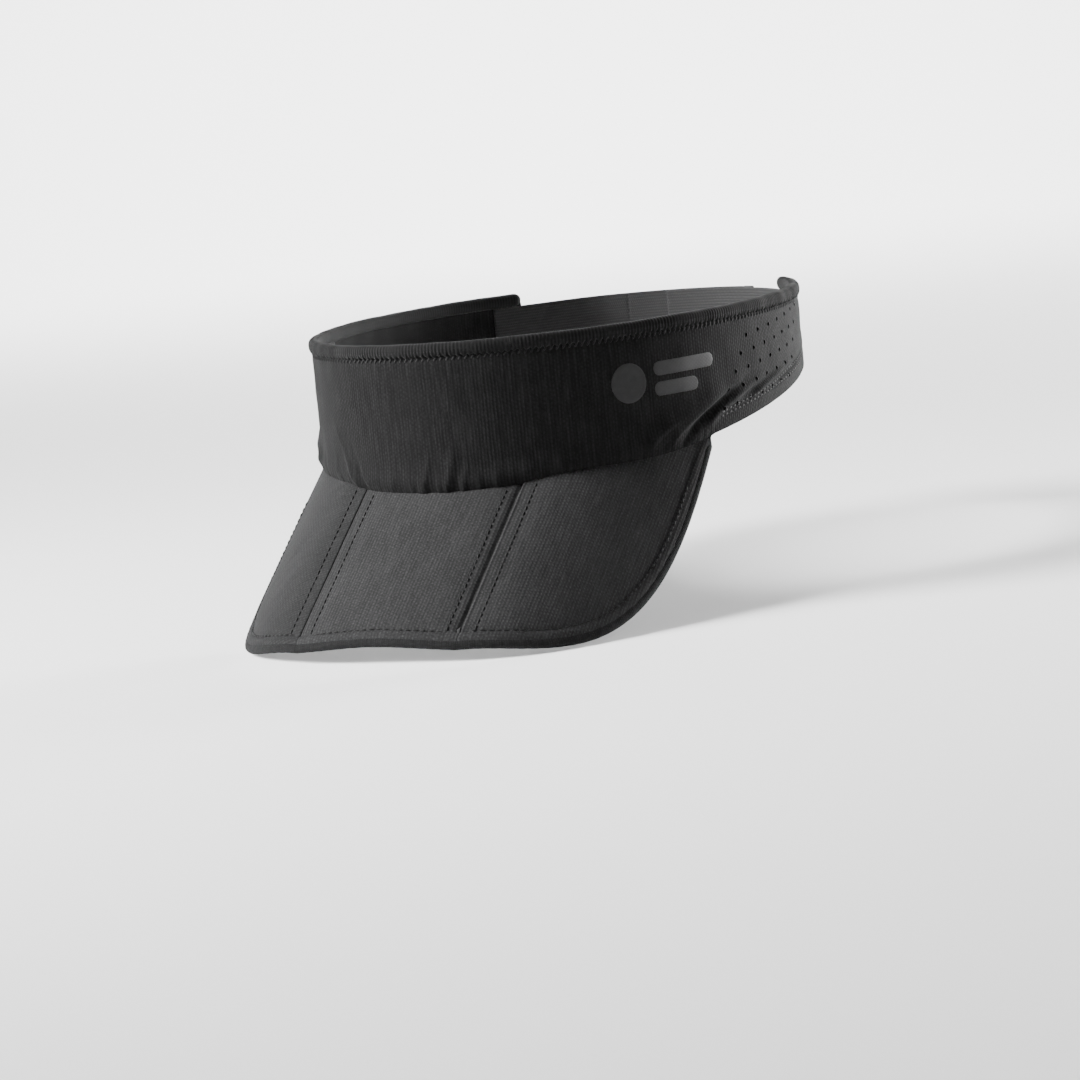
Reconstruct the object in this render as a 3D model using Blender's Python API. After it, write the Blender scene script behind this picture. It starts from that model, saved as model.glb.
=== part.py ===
"""Folding sports visor: a tall knitted headband with a three-panel brim.

The origin is the middle of the head ring at the level where the brim is sewn on.
The front of the visor faces -Y, the wearer's left is +X, and +Z is up. Units are metres.
"""
import math

import bpy
import numpy as np

# ---------------------------------------------------------------- driving dimensions
RING_HALF_WIDTH = 0.0809        # head ring, an ellipse measured on the knit's outer face
RING_HALF_LENGTH = 0.1049
BINDING_SEAM_Z = 0.0455         # where the top binding meets the knit
BINDING_TOP_Z = 0.0505
REAR_HEM_Z = 0.0225             # the band's lower edge behind the ears

BRIM_RISE = 0.73                # metres up for each metre back along the brim
BRIM_REACH = 0.0549             # ring's front to the brim's front edge, in plan
TEMPLE_Y = -0.0396              # where the brim ends at the temples
OUTLINE_POWER = 2.67            # roundness of the brim's outline
COVER_TIP = 0.98                # the side panels stop at this share of the outline
PIPING_TIP = 0.987
BOARD_TIP = 0.88
OUTLINE_BULGE = 0.0096          # how far the outline stands wider than the temples
FOLD_X = 0.0296                 # the two creases run at this distance from the middle
CENTRE_ARCH_RADIUS = 0.107
SIDE_START_SLOPE = 0.154        # the side panels leave the creases this steeply
SIDE_ARCH_RADIUS = 0.0353

GAP = 0.0003                    # clearance between neighbouring pieces
KNIT = 0.0008
INTERLINING = 0.0012
SWEATBAND = 0.0016
COVER = 0.0006                  # brim covers, top and under
BOARD = 0.0012
BRIM_THICKNESS = 2 * COVER + BOARD + 2 * GAP
PIPING_WIDTH = 0.0022
BOARD_INSET = 0.0065            # the board ends inside the edge stitching
BOARD_SEAM_INSET = 0.0020
BOARD_FOLD_INSET = 0.0025       # the boards stop short of the creases so that they can fold
FOLD_GAP = 0.00025              # half the slot at each crease

INTERLINING_ANGLE = 50.0        # degrees round the ring from the front
KNIT_END_ANGLE = 138.0
SWEATBAND_ANGLE = 72.0
ELASTIC_START_ANGLE = 131.0
ELASTIC_BOTTOM_Z = 0.0256
ELASTIC_TOP_Z = 0.0452          # just below the binding, which runs over its sewn end
ELASTIC = 0.0012
PATCH = 0.0008
STRAP_ROOT_ANGLE = 194.5
STRAP_TIP_ANGLE = 160.0
TIP_LENGTH_ANGLE = 3.2

BRIM_COVER_INSET = 0.0005       # the brim starts this far under the knit
SEAM_STEP = 0.0004              # slot between the band's lower edge and the brim's top face


# ---------------------------------------------------------------- the two surfaces
def ring_point(angle, z):
    """Point on the ring's outer face and its outward normal; the angle is from the front."""
    s = math.sin(math.radians(angle))
    c = math.cos(math.radians(angle))
    point = np.array([RING_HALF_WIDTH * s, -RING_HALF_LENGTH * c, z])
    normal = np.array([s / RING_HALF_WIDTH, -c / RING_HALF_LENGTH, 0.0])
    return point, normal / np.linalg.norm(normal)


def brim_profile(x):
    """Height of the brim across its width, and its slope."""
    side = abs(x) - FOLD_X
    if side <= 0.0:
        return -x * x / (2 * CENTRE_ARCH_RADIUS), -x / CENTRE_ARCH_RADIUS
    crease = -FOLD_X ** 2 / (2 * CENTRE_ARCH_RADIUS)
    height = crease - SIDE_START_SLOPE * side - side ** 2 / (2 * SIDE_ARCH_RADIUS)
    slope = -math.copysign(SIDE_START_SLOPE + side / SIDE_ARCH_RADIUS, x)
    return height, slope


def brim_point(x, y):
    """Point on the brim's top face and its upward normal."""
    height, slope = brim_profile(x)
    normal = np.array([-slope, -BRIM_RISE, 1.0])
    z = BRIM_RISE * (y + RING_HALF_LENGTH) + height
    return np.array([x, y, z]), normal / np.linalg.norm(normal)


TEMPLE_ANGLE = math.degrees(math.acos(-TEMPLE_Y / RING_HALF_LENGTH))
TEMPLE_X = RING_HALF_WIDTH * math.sin(math.radians(TEMPLE_ANGLE))
REAR_RISE_LENGTH = 0.1          # the hem climbs over this length behind the temples
REAR_RISE_POWER = 1.1


def seam_plan(angle, inset=0.0):
    """The brim's inner edge in plan, a little under the knit."""
    point, normal = ring_point(angle, 0.0)
    return (point - normal * (BRIM_COVER_INSET - inset))[:2]


def seam_height(angle):
    point, normal = brim_point(*seam_plan(angle))
    return point[2] + SEAM_STEP / normal[2]


def lower_edge(angle):
    """Height of the band's lower edge: along the brim, then rising behind the temples."""
    y = ring_point(angle, 0.0)[0][1]
    if y <= TEMPLE_Y:
        return seam_height(angle)
    share = min((y - TEMPLE_Y) / REAR_RISE_LENGTH, 1.0)
    start = seam_height(TEMPLE_ANGLE)
    return start + (REAR_HEM_Z - start) * (1 - (1 - share) ** REAR_RISE_POWER)


def outline(turn):
    """Brim outline in plan: turn runs from -1 at the right temple to 1 at the left."""
    s = math.sin(turn * math.pi / 2)
    across = math.copysign(abs(s) ** (2 / OUTLINE_POWER), s)
    forward = max(math.cos(turn * math.pi / 2), 0.0) ** (2 / OUTLINE_POWER)
    front_y = -RING_HALF_LENGTH - BRIM_REACH
    x = across * (TEMPLE_X + OUTLINE_BULGE * forward)
    return np.array([x, TEMPLE_Y + (front_y - TEMPLE_Y) * forward])


def turn_at(x):
    """Where along the outline its front reaches this x."""
    low, high = 0.0, 0.8
    for _ in range(50):
        middle = (low + high) / 2
        if outline(middle)[0] < abs(x):
            low = middle
        else:
            high = middle
    return math.copysign(low, x)


def facing_angle(plan):
    """Ring angle that faces a plan point from the middle of the ring."""
    return math.degrees(math.atan2(plan[0] / RING_HALF_WIDTH, -plan[1] / RING_HALF_LENGTH))


def outline_inward(turn):
    """Unit normal of the outline in plan, pointing at the ring."""
    along = outline(turn + 0.002) - outline(turn - 0.002)
    inward = np.array([-along[1], along[0]]) / np.linalg.norm(along)
    return inward


def angle_at(x):
    """Ring angle at which the brim's inner edge has this x."""
    return math.degrees(math.asin(x / (RING_HALF_WIDTH - BRIM_COVER_INSET)))


# ---------------------------------------------------------------- mesh helpers
def material(name, colour, roughness):
    made = bpy.data.materials.new(name)
    made.use_nodes = True
    shader = made.node_tree.nodes["Principled BSDF"]
    shader.inputs["Base Color"].default_value = (*colour, 1.0)
    shader.inputs["Roughness"].default_value = roughness
    return made


def add_object(name, vertices, faces, colour, roughness=0.9):
    mesh = bpy.data.meshes.new(name)
    mesh.from_pydata([tuple(v) for v in vertices], [], faces)
    mesh.validate()
    mesh.materials.append(material(name, colour, roughness))
    made = bpy.data.objects.new(name, mesh)
    bpy.context.scene.collection.objects.link(made)
    mesh.shade_smooth()
    mesh.set_sharp_from_angle(angle=math.radians(40))
    return made


def slab(name, rows, colour, flip=False, roughness=0.9):
    """Closed solid from rows of (outer point, inner point) pairs."""
    n_rows, n_columns = len(rows), len(rows[0])
    outer = [pair[0] for row in rows for pair in row]
    inner = [pair[1] for row in rows for pair in row]
    count = len(outer)

    def at(i, j, side=0):
        return side * count + i * n_columns + j

    faces = []
    for i in range(n_rows - 1):
        for j in range(n_columns - 1):
            faces.append((at(i, j), at(i + 1, j), at(i + 1, j + 1), at(i, j + 1)))
            faces.append((at(i, j, 1), at(i, j + 1, 1), at(i + 1, j + 1, 1), at(i + 1, j, 1)))
    for i in range(n_rows - 1):
        last = n_columns - 1
        faces.append((at(i, 0), at(i, 0, 1), at(i + 1, 0, 1), at(i + 1, 0)))
        faces.append((at(i, last), at(i + 1, last), at(i + 1, last, 1), at(i, last, 1)))
    for j in range(n_columns - 1):
        last = n_rows - 1
        faces.append((at(0, j), at(0, j + 1), at(0, j + 1, 1), at(0, j, 1)))
        faces.append((at(last, j), at(last, j, 1), at(last, j + 1, 1), at(last, j + 1)))
    if flip:
        faces = [tuple(reversed(face)) for face in faces]
    return add_object(name, outer + inner, faces, colour, roughness)


def band_slab(name, angles, bottom, top, outer, inner, colour, steps=3):
    """Upright strip of the ring; bottom, top, outer and inner may vary with the angle."""
    def value(limit, angle):
        return limit(angle) if callable(limit) else limit

    rows = []
    for angle in angles:
        low, high = value(bottom, angle), value(top, angle)
        row = []
        for z in np.linspace(low, high, steps + 1):
            point, normal = ring_point(angle, z)
            row.append((point + normal * value(outer, angle), point + normal * value(inner, angle)))
        rows.append(row)
    return slab(name, rows, colour)


def centre_plan(turn, share, seam_inset, edge_inset, fold_inset):
    """Plan position on the centre panel: turn -1 to 1 across, share 0 at the seam."""
    x = turn * (FOLD_X - fold_inset)
    start = seam_plan(angle_at(x), seam_inset)
    end = outline(turn_at(x)) + np.array([0.0, edge_inset])
    return np.array([x, start[1] + (end[1] - start[1]) * share])


def side_plan(turn, share, seam_inset, edge_inset, fold_inset, tip):
    """Plan position on the left side panel: turn 0 at the crease, 1 at the temple."""
    crease_x = FOLD_X + fold_inset
    first = turn_at(crease_x)
    edge_turn = first + (tip - first) * turn
    edge = outline(edge_turn)
    angle = facing_angle(edge)
    crease_shift = angle_at(crease_x) - facing_angle(outline(first))
    seam = seam_plan(angle + crease_shift * (1 - turn) ** 2, seam_inset)
    if turn == 0.0:
        edge[0] = seam[0] = crease_x
    back = (seam - edge) / np.linalg.norm(seam - edge)
    edge = edge + back * edge_inset / (back @ outline_inward(edge_turn))
    return seam + (edge - seam) * share


def brim_slab(name, plan, columns, rows, top, bottom, side, colour):
    """Brim layer between two depths below the top face; side is 1 for left, -1 for right."""
    grid = []
    for turn in columns:
        row = []
        for share in np.linspace(0.0, 1.0, rows + 1):
            x, y = plan(turn, share)
            point, normal = brim_point(x * side, y)
            row.append((point - normal * top, point - normal * bottom))
        grid.append(row)
    return slab(name, grid, colour, flip=side > 0)


def piping_slab(name, turns, side, colour):
    """Rolled edge along the outline, with a rounded section of the brim's full thickness."""
    section = []
    for step in range(8):
        bend = math.radians(22.5 + 45 * step)
        section.append((PIPING_WIDTH / 2 * (1 + math.cos(bend)), BRIM_THICKNESS / 2 * math.sin(bend)))
    vertices = []
    for turn in turns:
        edge = outline(turn)
        inward = outline_inward(turn)
        for depth, lift in section:
            x, y = edge + inward * (PIPING_WIDTH - depth)
            point, normal = brim_point(x * side, y)
            vertices.append(point + normal * (lift - BRIM_THICKNESS / 2))
    faces = []
    size = len(section)
    for i in range(len(turns) - 1):
        for j in range(size):
            k = (j + 1) % size
            faces.append((i * size + j, (i + 1) * size + j, (i + 1) * size + k, i * size + k))
    faces.append(tuple(range(size)))
    faces.append(tuple(reversed(range((len(turns) - 1) * size, len(turns) * size))))
    if side < 0:
        faces = [tuple(reversed(face)) for face in faces]
    return add_object(name, vertices, faces, colour)


# ---------------------------------------------------------------- the band
CHARCOAL = (0.045, 0.046, 0.049)
DARK = (0.025, 0.026, 0.028)
GREY = (0.10, 0.10, 0.105)


def build_front():
    knit = np.linspace(-KNIT_END_ANGLE, KNIT_END_ANGLE, 93)
    band_slab("outer_knit", knit, lower_edge, BINDING_SEAM_Z, 0.0, -KNIT, CHARCOAL)
    face = -KNIT - GAP
    inner = np.linspace(-INTERLINING_ANGLE, INTERLINING_ANGLE, 25)
    band_slab("front_interlining", inner, lambda a: lower_edge(a) + 0.0058, BINDING_SEAM_Z - 0.001,
              face, face - INTERLINING, GREY, 2)
    seam = np.linspace(-TEMPLE_ANGLE + 5, TEMPLE_ANGLE - 5, 31)
    band_slab("brim_seam_tape", seam, lambda a: lower_edge(a) + 0.0002,
              lambda a: lower_edge(a) + 0.0054, face, face - 0.0008, DARK, 1)
    face -= INTERLINING + GAP
    terry = np.linspace(-SWEATBAND_ANGLE, SWEATBAND_ANGLE, 33)
    band_slab("sweatband", terry, lambda a: lower_edge(a) + 0.0008, BINDING_SEAM_Z - 0.0025,
              face, face - SWEATBAND, GREY, 2)


def build_hem_tapes():
    """Turned hem inside the knit's lower edge, behind each temple."""
    for name, side in (("left", 1), ("right", -1)):
        angles = side * np.linspace(SWEATBAND_ANGLE + 1, ELASTIC_START_ANGLE - 1, 19)
        band_slab(f"{name}_hem_tape", np.sort(angles), lambda a: lower_edge(a) + 0.0002,
                  lambda a: lower_edge(a) + 0.0060, -KNIT - GAP, -KNIT - GAP - 0.0006, DARK, 1)


def build_binding():
    """The rolled strip over the top edge of the knit, from one elastic to the other."""
    section = []
    inward = KNIT + 2 * GAP + INTERLINING
    height = BINDING_TOP_Z - BINDING_SEAM_Z - GAP
    for step in range(8):
        bend = math.radians(22.5 + 45 * step)
        section.append((-inward / 2 + (inward / 2 + 0.0006) * math.cos(bend),
                        BINDING_SEAM_Z + GAP + height / 2 * (1 + math.sin(bend))))
    vertices = []
    angles = np.linspace(-KNIT_END_ANGLE, KNIT_END_ANGLE, 65)
    for angle in angles:
        for offset, z in section:
            point, normal = ring_point(angle, z)
            vertices.append(point + normal * offset)
    faces = []
    size = len(section)
    for i in range(len(angles) - 1):
        for j in range(size):
            k = (j + 1) % size
            faces.append((i * size + j, (i + 1) * size + j, (i + 1) * size + k, i * size + k))
    faces.append(tuple(range(size)))
    faces.append(tuple(reversed(range((len(angles) - 1) * size, len(angles) * size))))
    add_object("top_binding", vertices, faces, DARK)


def build_label():
    """Blank care label sewn inside the left of the band, over the hem tape."""
    face = -KNIT - GAP - 0.0006 - GAP
    angles = np.linspace(104, 114, 6)
    band_slab("care_label", angles, lambda a: lower_edge(a) + 0.0012,
              lambda a: lower_edge(a) + 0.0172, face, face - 0.0003, (0.55, 0.55, 0.55), 2)


MOTIF_Z = 0.0300
MOTIF_THICKNESS = 0.00015


def badge_outline(half_length, half_height):
    """(sideways, half width) stations along a bar with round ends, or along a disc."""
    straight = half_length - half_height
    stations = []
    for turn in np.linspace(0, math.pi / 2, 9):
        half = max(half_height * math.sin(turn), 0.00015)
        stations.append((-straight - half_height * math.cos(turn), half))
    for share in np.linspace(-1, 1, 9)[1:-1]:
        if straight > 0:
            stations.append((straight * share, half_height))
    ends = [(-sideways, half) for sideways, half in stations[8::-1]]
    return stations + (ends if straight > 0 else ends[1:])


def motif_piece(name, angle, z, half_length, half_height):
    """Rounded badge lying on the knit: a disc when its two half sizes are equal."""
    lower, upper = ring_point(angle - 0.5, z)[0], ring_point(angle + 0.5, z)[0]
    degree_length = np.linalg.norm(upper - lower)
    rows = []
    for sideways, half in badge_outline(half_length, half_height):
        row = []
        for up in (-half, 0.0, half):
            point, out = ring_point(angle + sideways / degree_length, z + up)
            row.append((point + out * (GAP + MOTIF_THICKNESS), point + out * GAP))
        rows.append(row)
    return slab(name, rows, (0.35, 0.35, 0.36), roughness=0.5)


def build_motif():
    motif_piece("reflective_disc", 47.2, MOTIF_Z, 0.0066, 0.0066)
    motif_piece("reflective_bar_long", 61.0, MOTIF_Z + 0.0034, 0.0135, 0.0023)
    motif_piece("reflective_bar_short", 58.6, MOTIF_Z - 0.0034, 0.0095, 0.0023)


# ---------------------------------------------------------------- the closure at the back
def elastic_step(angle):
    """The right elastic moves outward towards the strap that it is sewn to."""
    inside = -KNIT - GAP
    outside = GAP + PATCH + GAP + ELASTIC
    share = min(max((abs(angle) - 140) / 20, 0.0), 1.0)
    return inside + (outside - inside) * share * share * (3 - 2 * share)


def build_closure():
    face = -KNIT - GAP
    left = np.linspace(ELASTIC_START_ANGLE, 183.0, 21)
    band_slab("left_rear_elastic", left, ELASTIC_BOTTOM_Z, ELASTIC_TOP_Z, face, face - ELASTIC, DARK, 2)
    loop = np.linspace(161.5, 182.0, 9)
    loop_face = face + GAP + PATCH
    band_slab("loop_patch", loop, ELASTIC_BOTTOM_Z + 0.002, ELASTIC_TOP_Z - 0.002,
              loop_face, face + GAP, GREY, 1)
    start = 360 - STRAP_ROOT_ANGLE - 0.25
    right = -np.linspace(start, ELASTIC_START_ANGLE, 17)
    band_slab("right_rear_elastic", right, ELASTIC_BOTTOM_Z, ELASTIC_TOP_Z,
              elastic_step, lambda a: elastic_step(a) - ELASTIC, DARK, 2)
    hook = np.linspace(164.0, 183.5, 9)
    hook_face = loop_face + GAP + PATCH
    band_slab("hook_patch", hook, ELASTIC_BOTTOM_Z + 0.002, ELASTIC_TOP_Z - 0.002,
              hook_face, loop_face + GAP, DARK, 1)
    strap = np.linspace(STRAP_TIP_ANGLE, STRAP_ROOT_ANGLE - 0.25, 15)
    strap_face = GAP + PATCH + GAP + ELASTIC
    band_slab("closure_strap", strap, ELASTIC_BOTTOM_Z, ELASTIC_TOP_Z,
              strap_face, strap_face - ELASTIC, DARK, 2)
    tip = np.linspace(STRAP_TIP_ANGLE - TIP_LENGTH_ANGLE, STRAP_TIP_ANGLE - 0.25, 4)
    band_slab("strap_tip", tip, ELASTIC_BOTTOM_Z, ELASTIC_TOP_Z,
              strap_face + 0.0002, strap_face - ELASTIC - 0.0002, DARK, 2)


# ---------------------------------------------------------------- the brim
UNDER_TOP = COVER + GAP + BOARD + GAP


def build_centre_brim():
    turns = np.linspace(-1, 1, 13)

    def cover(turn, share):
        return centre_plan(turn, share, 0.0, PIPING_WIDTH + GAP, FOLD_GAP)

    def board(turn, share):
        return centre_plan(turn, share, BOARD_SEAM_INSET, BOARD_INSET, BOARD_FOLD_INSET)

    brim_slab("centre_top_cover", cover, turns, 5, 0.0, COVER, 1, CHARCOAL)
    brim_slab("centre_under_cover", cover, turns, 5, UNDER_TOP, BRIM_THICKNESS, 1, DARK)
    brim_slab("centre_board", board, turns, 4, COVER + GAP, COVER + GAP + BOARD, 1, GREY)
    edge = turn_at(FOLD_X - FOLD_GAP)
    piping_slab("centre_edge_piping", np.linspace(-edge, edge, 13), 1, DARK)


def fold_tape_plan(turn, share):
    """Strip of the hinge tape that is sewn to the centre panel, beside its board."""
    inset = FOLD_GAP + (BOARD_FOLD_INSET - GAP - FOLD_GAP) * (1 - turn)
    x = FOLD_X - inset
    start = seam_plan(angle_at(x), BOARD_SEAM_INSET)[1]
    end = outline(turn_at(x))[1] + BOARD_INSET
    return np.array([x, start + (end - start) * share])


def build_side_brims():
    def cover(turn, share):
        return side_plan(turn, share, 0.0, PIPING_WIDTH + GAP, FOLD_GAP, COVER_TIP)

    def board(turn, share):
        return side_plan(turn, share, BOARD_SEAM_INSET, BOARD_INSET, BOARD_FOLD_INSET, BOARD_TIP)

    turns = np.linspace(0, 1, 14)
    for name, side in (("left", 1), ("right", -1)):
        brim_slab(f"{name}_top_cover", cover, turns, 5, 0.0, COVER, side, CHARCOAL)
        brim_slab(f"{name}_under_cover", cover, turns, 5, UNDER_TOP, BRIM_THICKNESS, side, DARK)
        brim_slab(f"{name}_board", board, turns, 4, COVER + GAP, COVER + GAP + BOARD, side, GREY)
        brim_slab(f"{name}_fold_tape", fold_tape_plan, (0.0, 1.0), 6, COVER + GAP,
                  COVER + GAP + 0.0004, side, DARK)
        first = turn_at(FOLD_X + FOLD_GAP)
        piping_slab(f"{name}_edge_piping", np.linspace(first, PIPING_TIP, 25), side, DARK)


def main():
    for old in list(bpy.data.objects):
        bpy.data.objects.remove(old)
    build_front()
    build_hem_tapes()
    build_binding()
    build_label()
    build_motif()
    build_closure()
    build_centre_brim()
    build_side_brims()


main()
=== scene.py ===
"""Looks of a folding sports visor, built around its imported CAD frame."""
import math

import bpy
import numpy as np
from mathutils import Matrix, Vector


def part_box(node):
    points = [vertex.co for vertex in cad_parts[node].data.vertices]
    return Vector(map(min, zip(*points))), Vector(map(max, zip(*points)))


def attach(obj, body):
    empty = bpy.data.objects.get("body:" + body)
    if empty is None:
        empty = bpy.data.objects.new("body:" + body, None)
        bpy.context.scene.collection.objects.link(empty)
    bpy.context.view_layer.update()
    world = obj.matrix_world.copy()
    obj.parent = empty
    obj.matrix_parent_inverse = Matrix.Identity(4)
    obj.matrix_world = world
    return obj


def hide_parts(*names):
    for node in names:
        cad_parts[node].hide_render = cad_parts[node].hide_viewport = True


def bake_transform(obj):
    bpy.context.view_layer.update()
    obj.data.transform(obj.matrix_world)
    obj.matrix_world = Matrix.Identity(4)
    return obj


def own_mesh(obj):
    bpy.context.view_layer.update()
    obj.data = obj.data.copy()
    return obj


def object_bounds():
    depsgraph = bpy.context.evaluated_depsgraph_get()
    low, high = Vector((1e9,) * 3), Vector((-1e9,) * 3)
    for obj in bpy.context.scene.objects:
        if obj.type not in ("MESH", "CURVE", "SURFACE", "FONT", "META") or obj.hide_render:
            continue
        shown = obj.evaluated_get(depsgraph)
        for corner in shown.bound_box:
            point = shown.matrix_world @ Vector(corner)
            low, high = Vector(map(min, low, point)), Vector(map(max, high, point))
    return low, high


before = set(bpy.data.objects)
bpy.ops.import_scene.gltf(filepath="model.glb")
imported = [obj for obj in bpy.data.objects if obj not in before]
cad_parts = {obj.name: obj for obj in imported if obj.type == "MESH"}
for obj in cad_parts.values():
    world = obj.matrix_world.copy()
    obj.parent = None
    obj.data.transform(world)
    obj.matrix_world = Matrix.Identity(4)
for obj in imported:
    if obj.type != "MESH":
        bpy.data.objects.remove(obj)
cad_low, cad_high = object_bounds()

MM = 0.001

# ---- sizes, read from the frame where it holds them
KNIT_LOW, KNIT_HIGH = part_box("outer_knit")
RING_HALF_WIDTH = KNIT_HIGH.x
RING_HALF_LENGTH = -KNIT_LOW.y
BINDING_SEAM_Z = KNIT_HIGH.z
BINDING_TOP_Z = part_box("top_binding")[1].z
REAR_HEM_Z = 0.0225
REAR_RISE_LENGTH = 0.1
REAR_RISE_POWER = 1.1
KNIT_END_ANGLE = 138.0

BRIM_RISE = 0.73
BRIM_REACH = -RING_HALF_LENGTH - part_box("centre_edge_piping")[0].y
TEMPLE_Y = -0.0396
OUTLINE_POWER = 2.67
OUTLINE_BULGE = 0.0096
FOLD_X = 0.0296
CENTRE_ARCH_RADIUS = 0.107
SIDE_START_SLOPE = 0.154
SIDE_ARCH_RADIUS = 0.0353
BRIM_THICKNESS = 0.0030
BRIM_COVER = 0.6 * MM
PANEL_GAP = 0.2 * MM
PIECE_TIP = 0.9985
PIPING_WIDTH = 0.0022
CREASE_STITCH = 4.5 * MM
EDGE_STITCH = 6.0 * MM
EDGE_RADIUS = 0.085
EDGE_CENTRE_Y = -0.05

KNIT = 0.8 * MM
GAP = 0.3 * MM
INTERLINING = 1.2 * MM
SWEATBAND = 1.6 * MM
SWEATBAND_ANGLE = 72.0
INTERLINING_FACE = -KNIT - GAP
SWEATBAND_FACE = INTERLINING_FACE - INTERLINING - GAP
HEM_LINES = (4.2 * MM, 5.6 * MM)
HOLE_RADIUS = 0.68 * MM
PERFORATED = (67.0, 112.0)
ELASTIC_LOW, ELASTIC_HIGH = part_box("left_rear_elastic")
ELASTIC = 1.2 * MM
ELASTIC_START = 131.0
PATCH = 0.8 * MM
STRAP_ROOT_ANGLE = 194.5
STRAP_TIP_ANGLE = 160.0
STRAP_FACE = GAP + PATCH + GAP + ELASTIC
LOOP_ANGLES = (161.5, 182.0)
HOOK_ANGLES = (164.0, 183.5)
TIP_ANGLES = (156.8, 159.75)
LABEL_ANGLES = (104.0, 114.0)

SIDES = {"left": 1, "right": -1}


# ---- surfaces of the band and the brim
def unit(vectors):
    return vectors / np.linalg.norm(vectors, axis=-1, keepdims=True)


def ring(angle, z, offset=0.0):
    """Points on the ring's outer face, moved outward by offset; all inputs broadcast."""
    angle, z, offset = np.broadcast_arrays(np.radians(angle), z, offset)
    sine, cosine = np.sin(angle), np.cos(angle)
    normal = unit(np.stack([sine / RING_HALF_WIDTH, -cosine / RING_HALF_LENGTH, 0 * sine], -1))
    point = np.stack([RING_HALF_WIDTH * sine, -RING_HALF_LENGTH * cosine, z], -1)
    return point + normal * offset[..., None]


def ring_normal(angle):
    return ring(angle, 0.0, 1.0) - ring(angle, 0.0)


ARC_ANGLES = np.linspace(-200, 200, 4001)
ARC_STEPS = np.linalg.norm(np.diff(ring(ARC_ANGLES, 0.0), axis=0), axis=1)
ARC_LENGTHS = np.concatenate([[0.0], np.cumsum(ARC_STEPS)])
ARC_LENGTHS -= ARC_LENGTHS[len(ARC_LENGTHS) // 2]


def arc(angle):
    """Length round the ring from the front to this angle."""
    return np.interp(angle, ARC_ANGLES, ARC_LENGTHS)


def angle_of_arc(length):
    return np.interp(length, ARC_LENGTHS, ARC_ANGLES)


def brim(x, y, lift=0.0):
    """Points on the brim's top face, moved along its normal by lift."""
    x, y, lift = np.broadcast_arrays(x, y, lift)
    inner, side = np.minimum(np.abs(x), FOLD_X), np.maximum(np.abs(x) - FOLD_X, 0.0)
    fall = inner ** 2 / 2 / CENTRE_ARCH_RADIUS + SIDE_START_SLOPE * side + side ** 2 / 2 / SIDE_ARCH_RADIUS
    normal = unit(np.stack([np.sign(x) * brim_slope(x), np.full_like(x, -BRIM_RISE), np.ones_like(x)], -1))
    point = np.stack([x, y, BRIM_RISE * (y + RING_HALF_LENGTH) - fall], -1)
    return point + normal * lift[..., None]


def brim_slope(x):
    """How steeply the brim falls to the side here."""
    away = np.abs(x)
    on_side = SIDE_START_SLOPE + (away - FOLD_X) / SIDE_ARCH_RADIUS
    return np.where(away > FOLD_X, on_side, away / CENTRE_ARCH_RADIUS)


def brim_normal(x, y):
    return brim(x, y, 1.0) - brim(x, y)


SEAM_INSET = 0.5 * MM


def seam_plan(angle):
    """Plan of the seam between band and brim."""
    return ring(angle, 0.0, -SEAM_INSET)[..., :2]


def angle_at(x):
    return np.degrees(np.arcsin(x / (RING_HALF_WIDTH - SEAM_INSET)))


TEMPLE_ANGLE = math.degrees(math.acos(-TEMPLE_Y / RING_HALF_LENGTH))
TEMPLE_X = RING_HALF_WIDTH * math.sin(math.radians(TEMPLE_ANGLE))


def lower_edge(angle):
    """Height of the band's lower edge."""
    angle = np.asarray(angle, float)
    plan = seam_plan(np.clip(np.abs(angle), 0, TEMPLE_ANGLE))
    seam = brim(plan[..., 0], plan[..., 1])[..., 2] + 0.45 * MM
    share = np.clip((ring(angle, 0.0)[..., 1] - TEMPLE_Y) / REAR_RISE_LENGTH, 0.0, 1.0)
    return seam + (REAR_HEM_Z - seam) * (1 - (1 - share) ** REAR_RISE_POWER)


def outline(turn):
    """Brim outline in plan: turn runs from -1 at the right temple to 1 at the left."""
    bend = np.asarray(turn, float) * math.pi / 2
    across = np.sign(bend) * np.abs(np.sin(bend)) ** (2 / OUTLINE_POWER)
    forward = np.maximum(np.cos(bend), 0.0) ** (2 / OUTLINE_POWER)
    x = across * (TEMPLE_X + OUTLINE_BULGE * forward)
    return np.stack([x, TEMPLE_Y - (RING_HALF_LENGTH + BRIM_REACH + TEMPLE_Y) * forward], -1)


OUTLINE_TURNS = np.linspace(-0.9, 0.9, 1801)


def turn_at(x):
    """Where along the outline its front reaches this x."""
    front = outline(OUTLINE_TURNS)[:, 0]
    span = slice(np.argmin(front), np.argmax(front) + 1)
    return np.interp(x, front[span], OUTLINE_TURNS[span])


def outline_inward(turn):
    along = unit(outline(np.asarray(turn) + 0.002) - outline(np.asarray(turn) - 0.002))
    return np.stack([-along[..., 1], along[..., 0]], -1)


def smooth(low, high, value):
    share = np.clip((value - low) / (high - low), 0.0, 1.0)
    return share * share * (3 - 2 * share)


def bump(value, width):
    """1 at 0, falling smoothly to 0 at about twice the width."""
    return np.exp(-(value / width) ** 2)


def ripple(u, v, seed):
    """Soft irregular waves, about -1 to 1; u and v in metres."""
    draw = np.random.default_rng(seed)
    total = 0.0
    for _ in range(7):
        direction = draw.uniform(0, math.pi)
        length = draw.uniform(9, 26) * MM
        phase = draw.uniform(0, 2 * math.pi)
        along = u * math.cos(direction) + v * math.sin(direction)
        total = total + np.sin(2 * math.pi * along / length + phase)
    return total / 4.0


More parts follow.
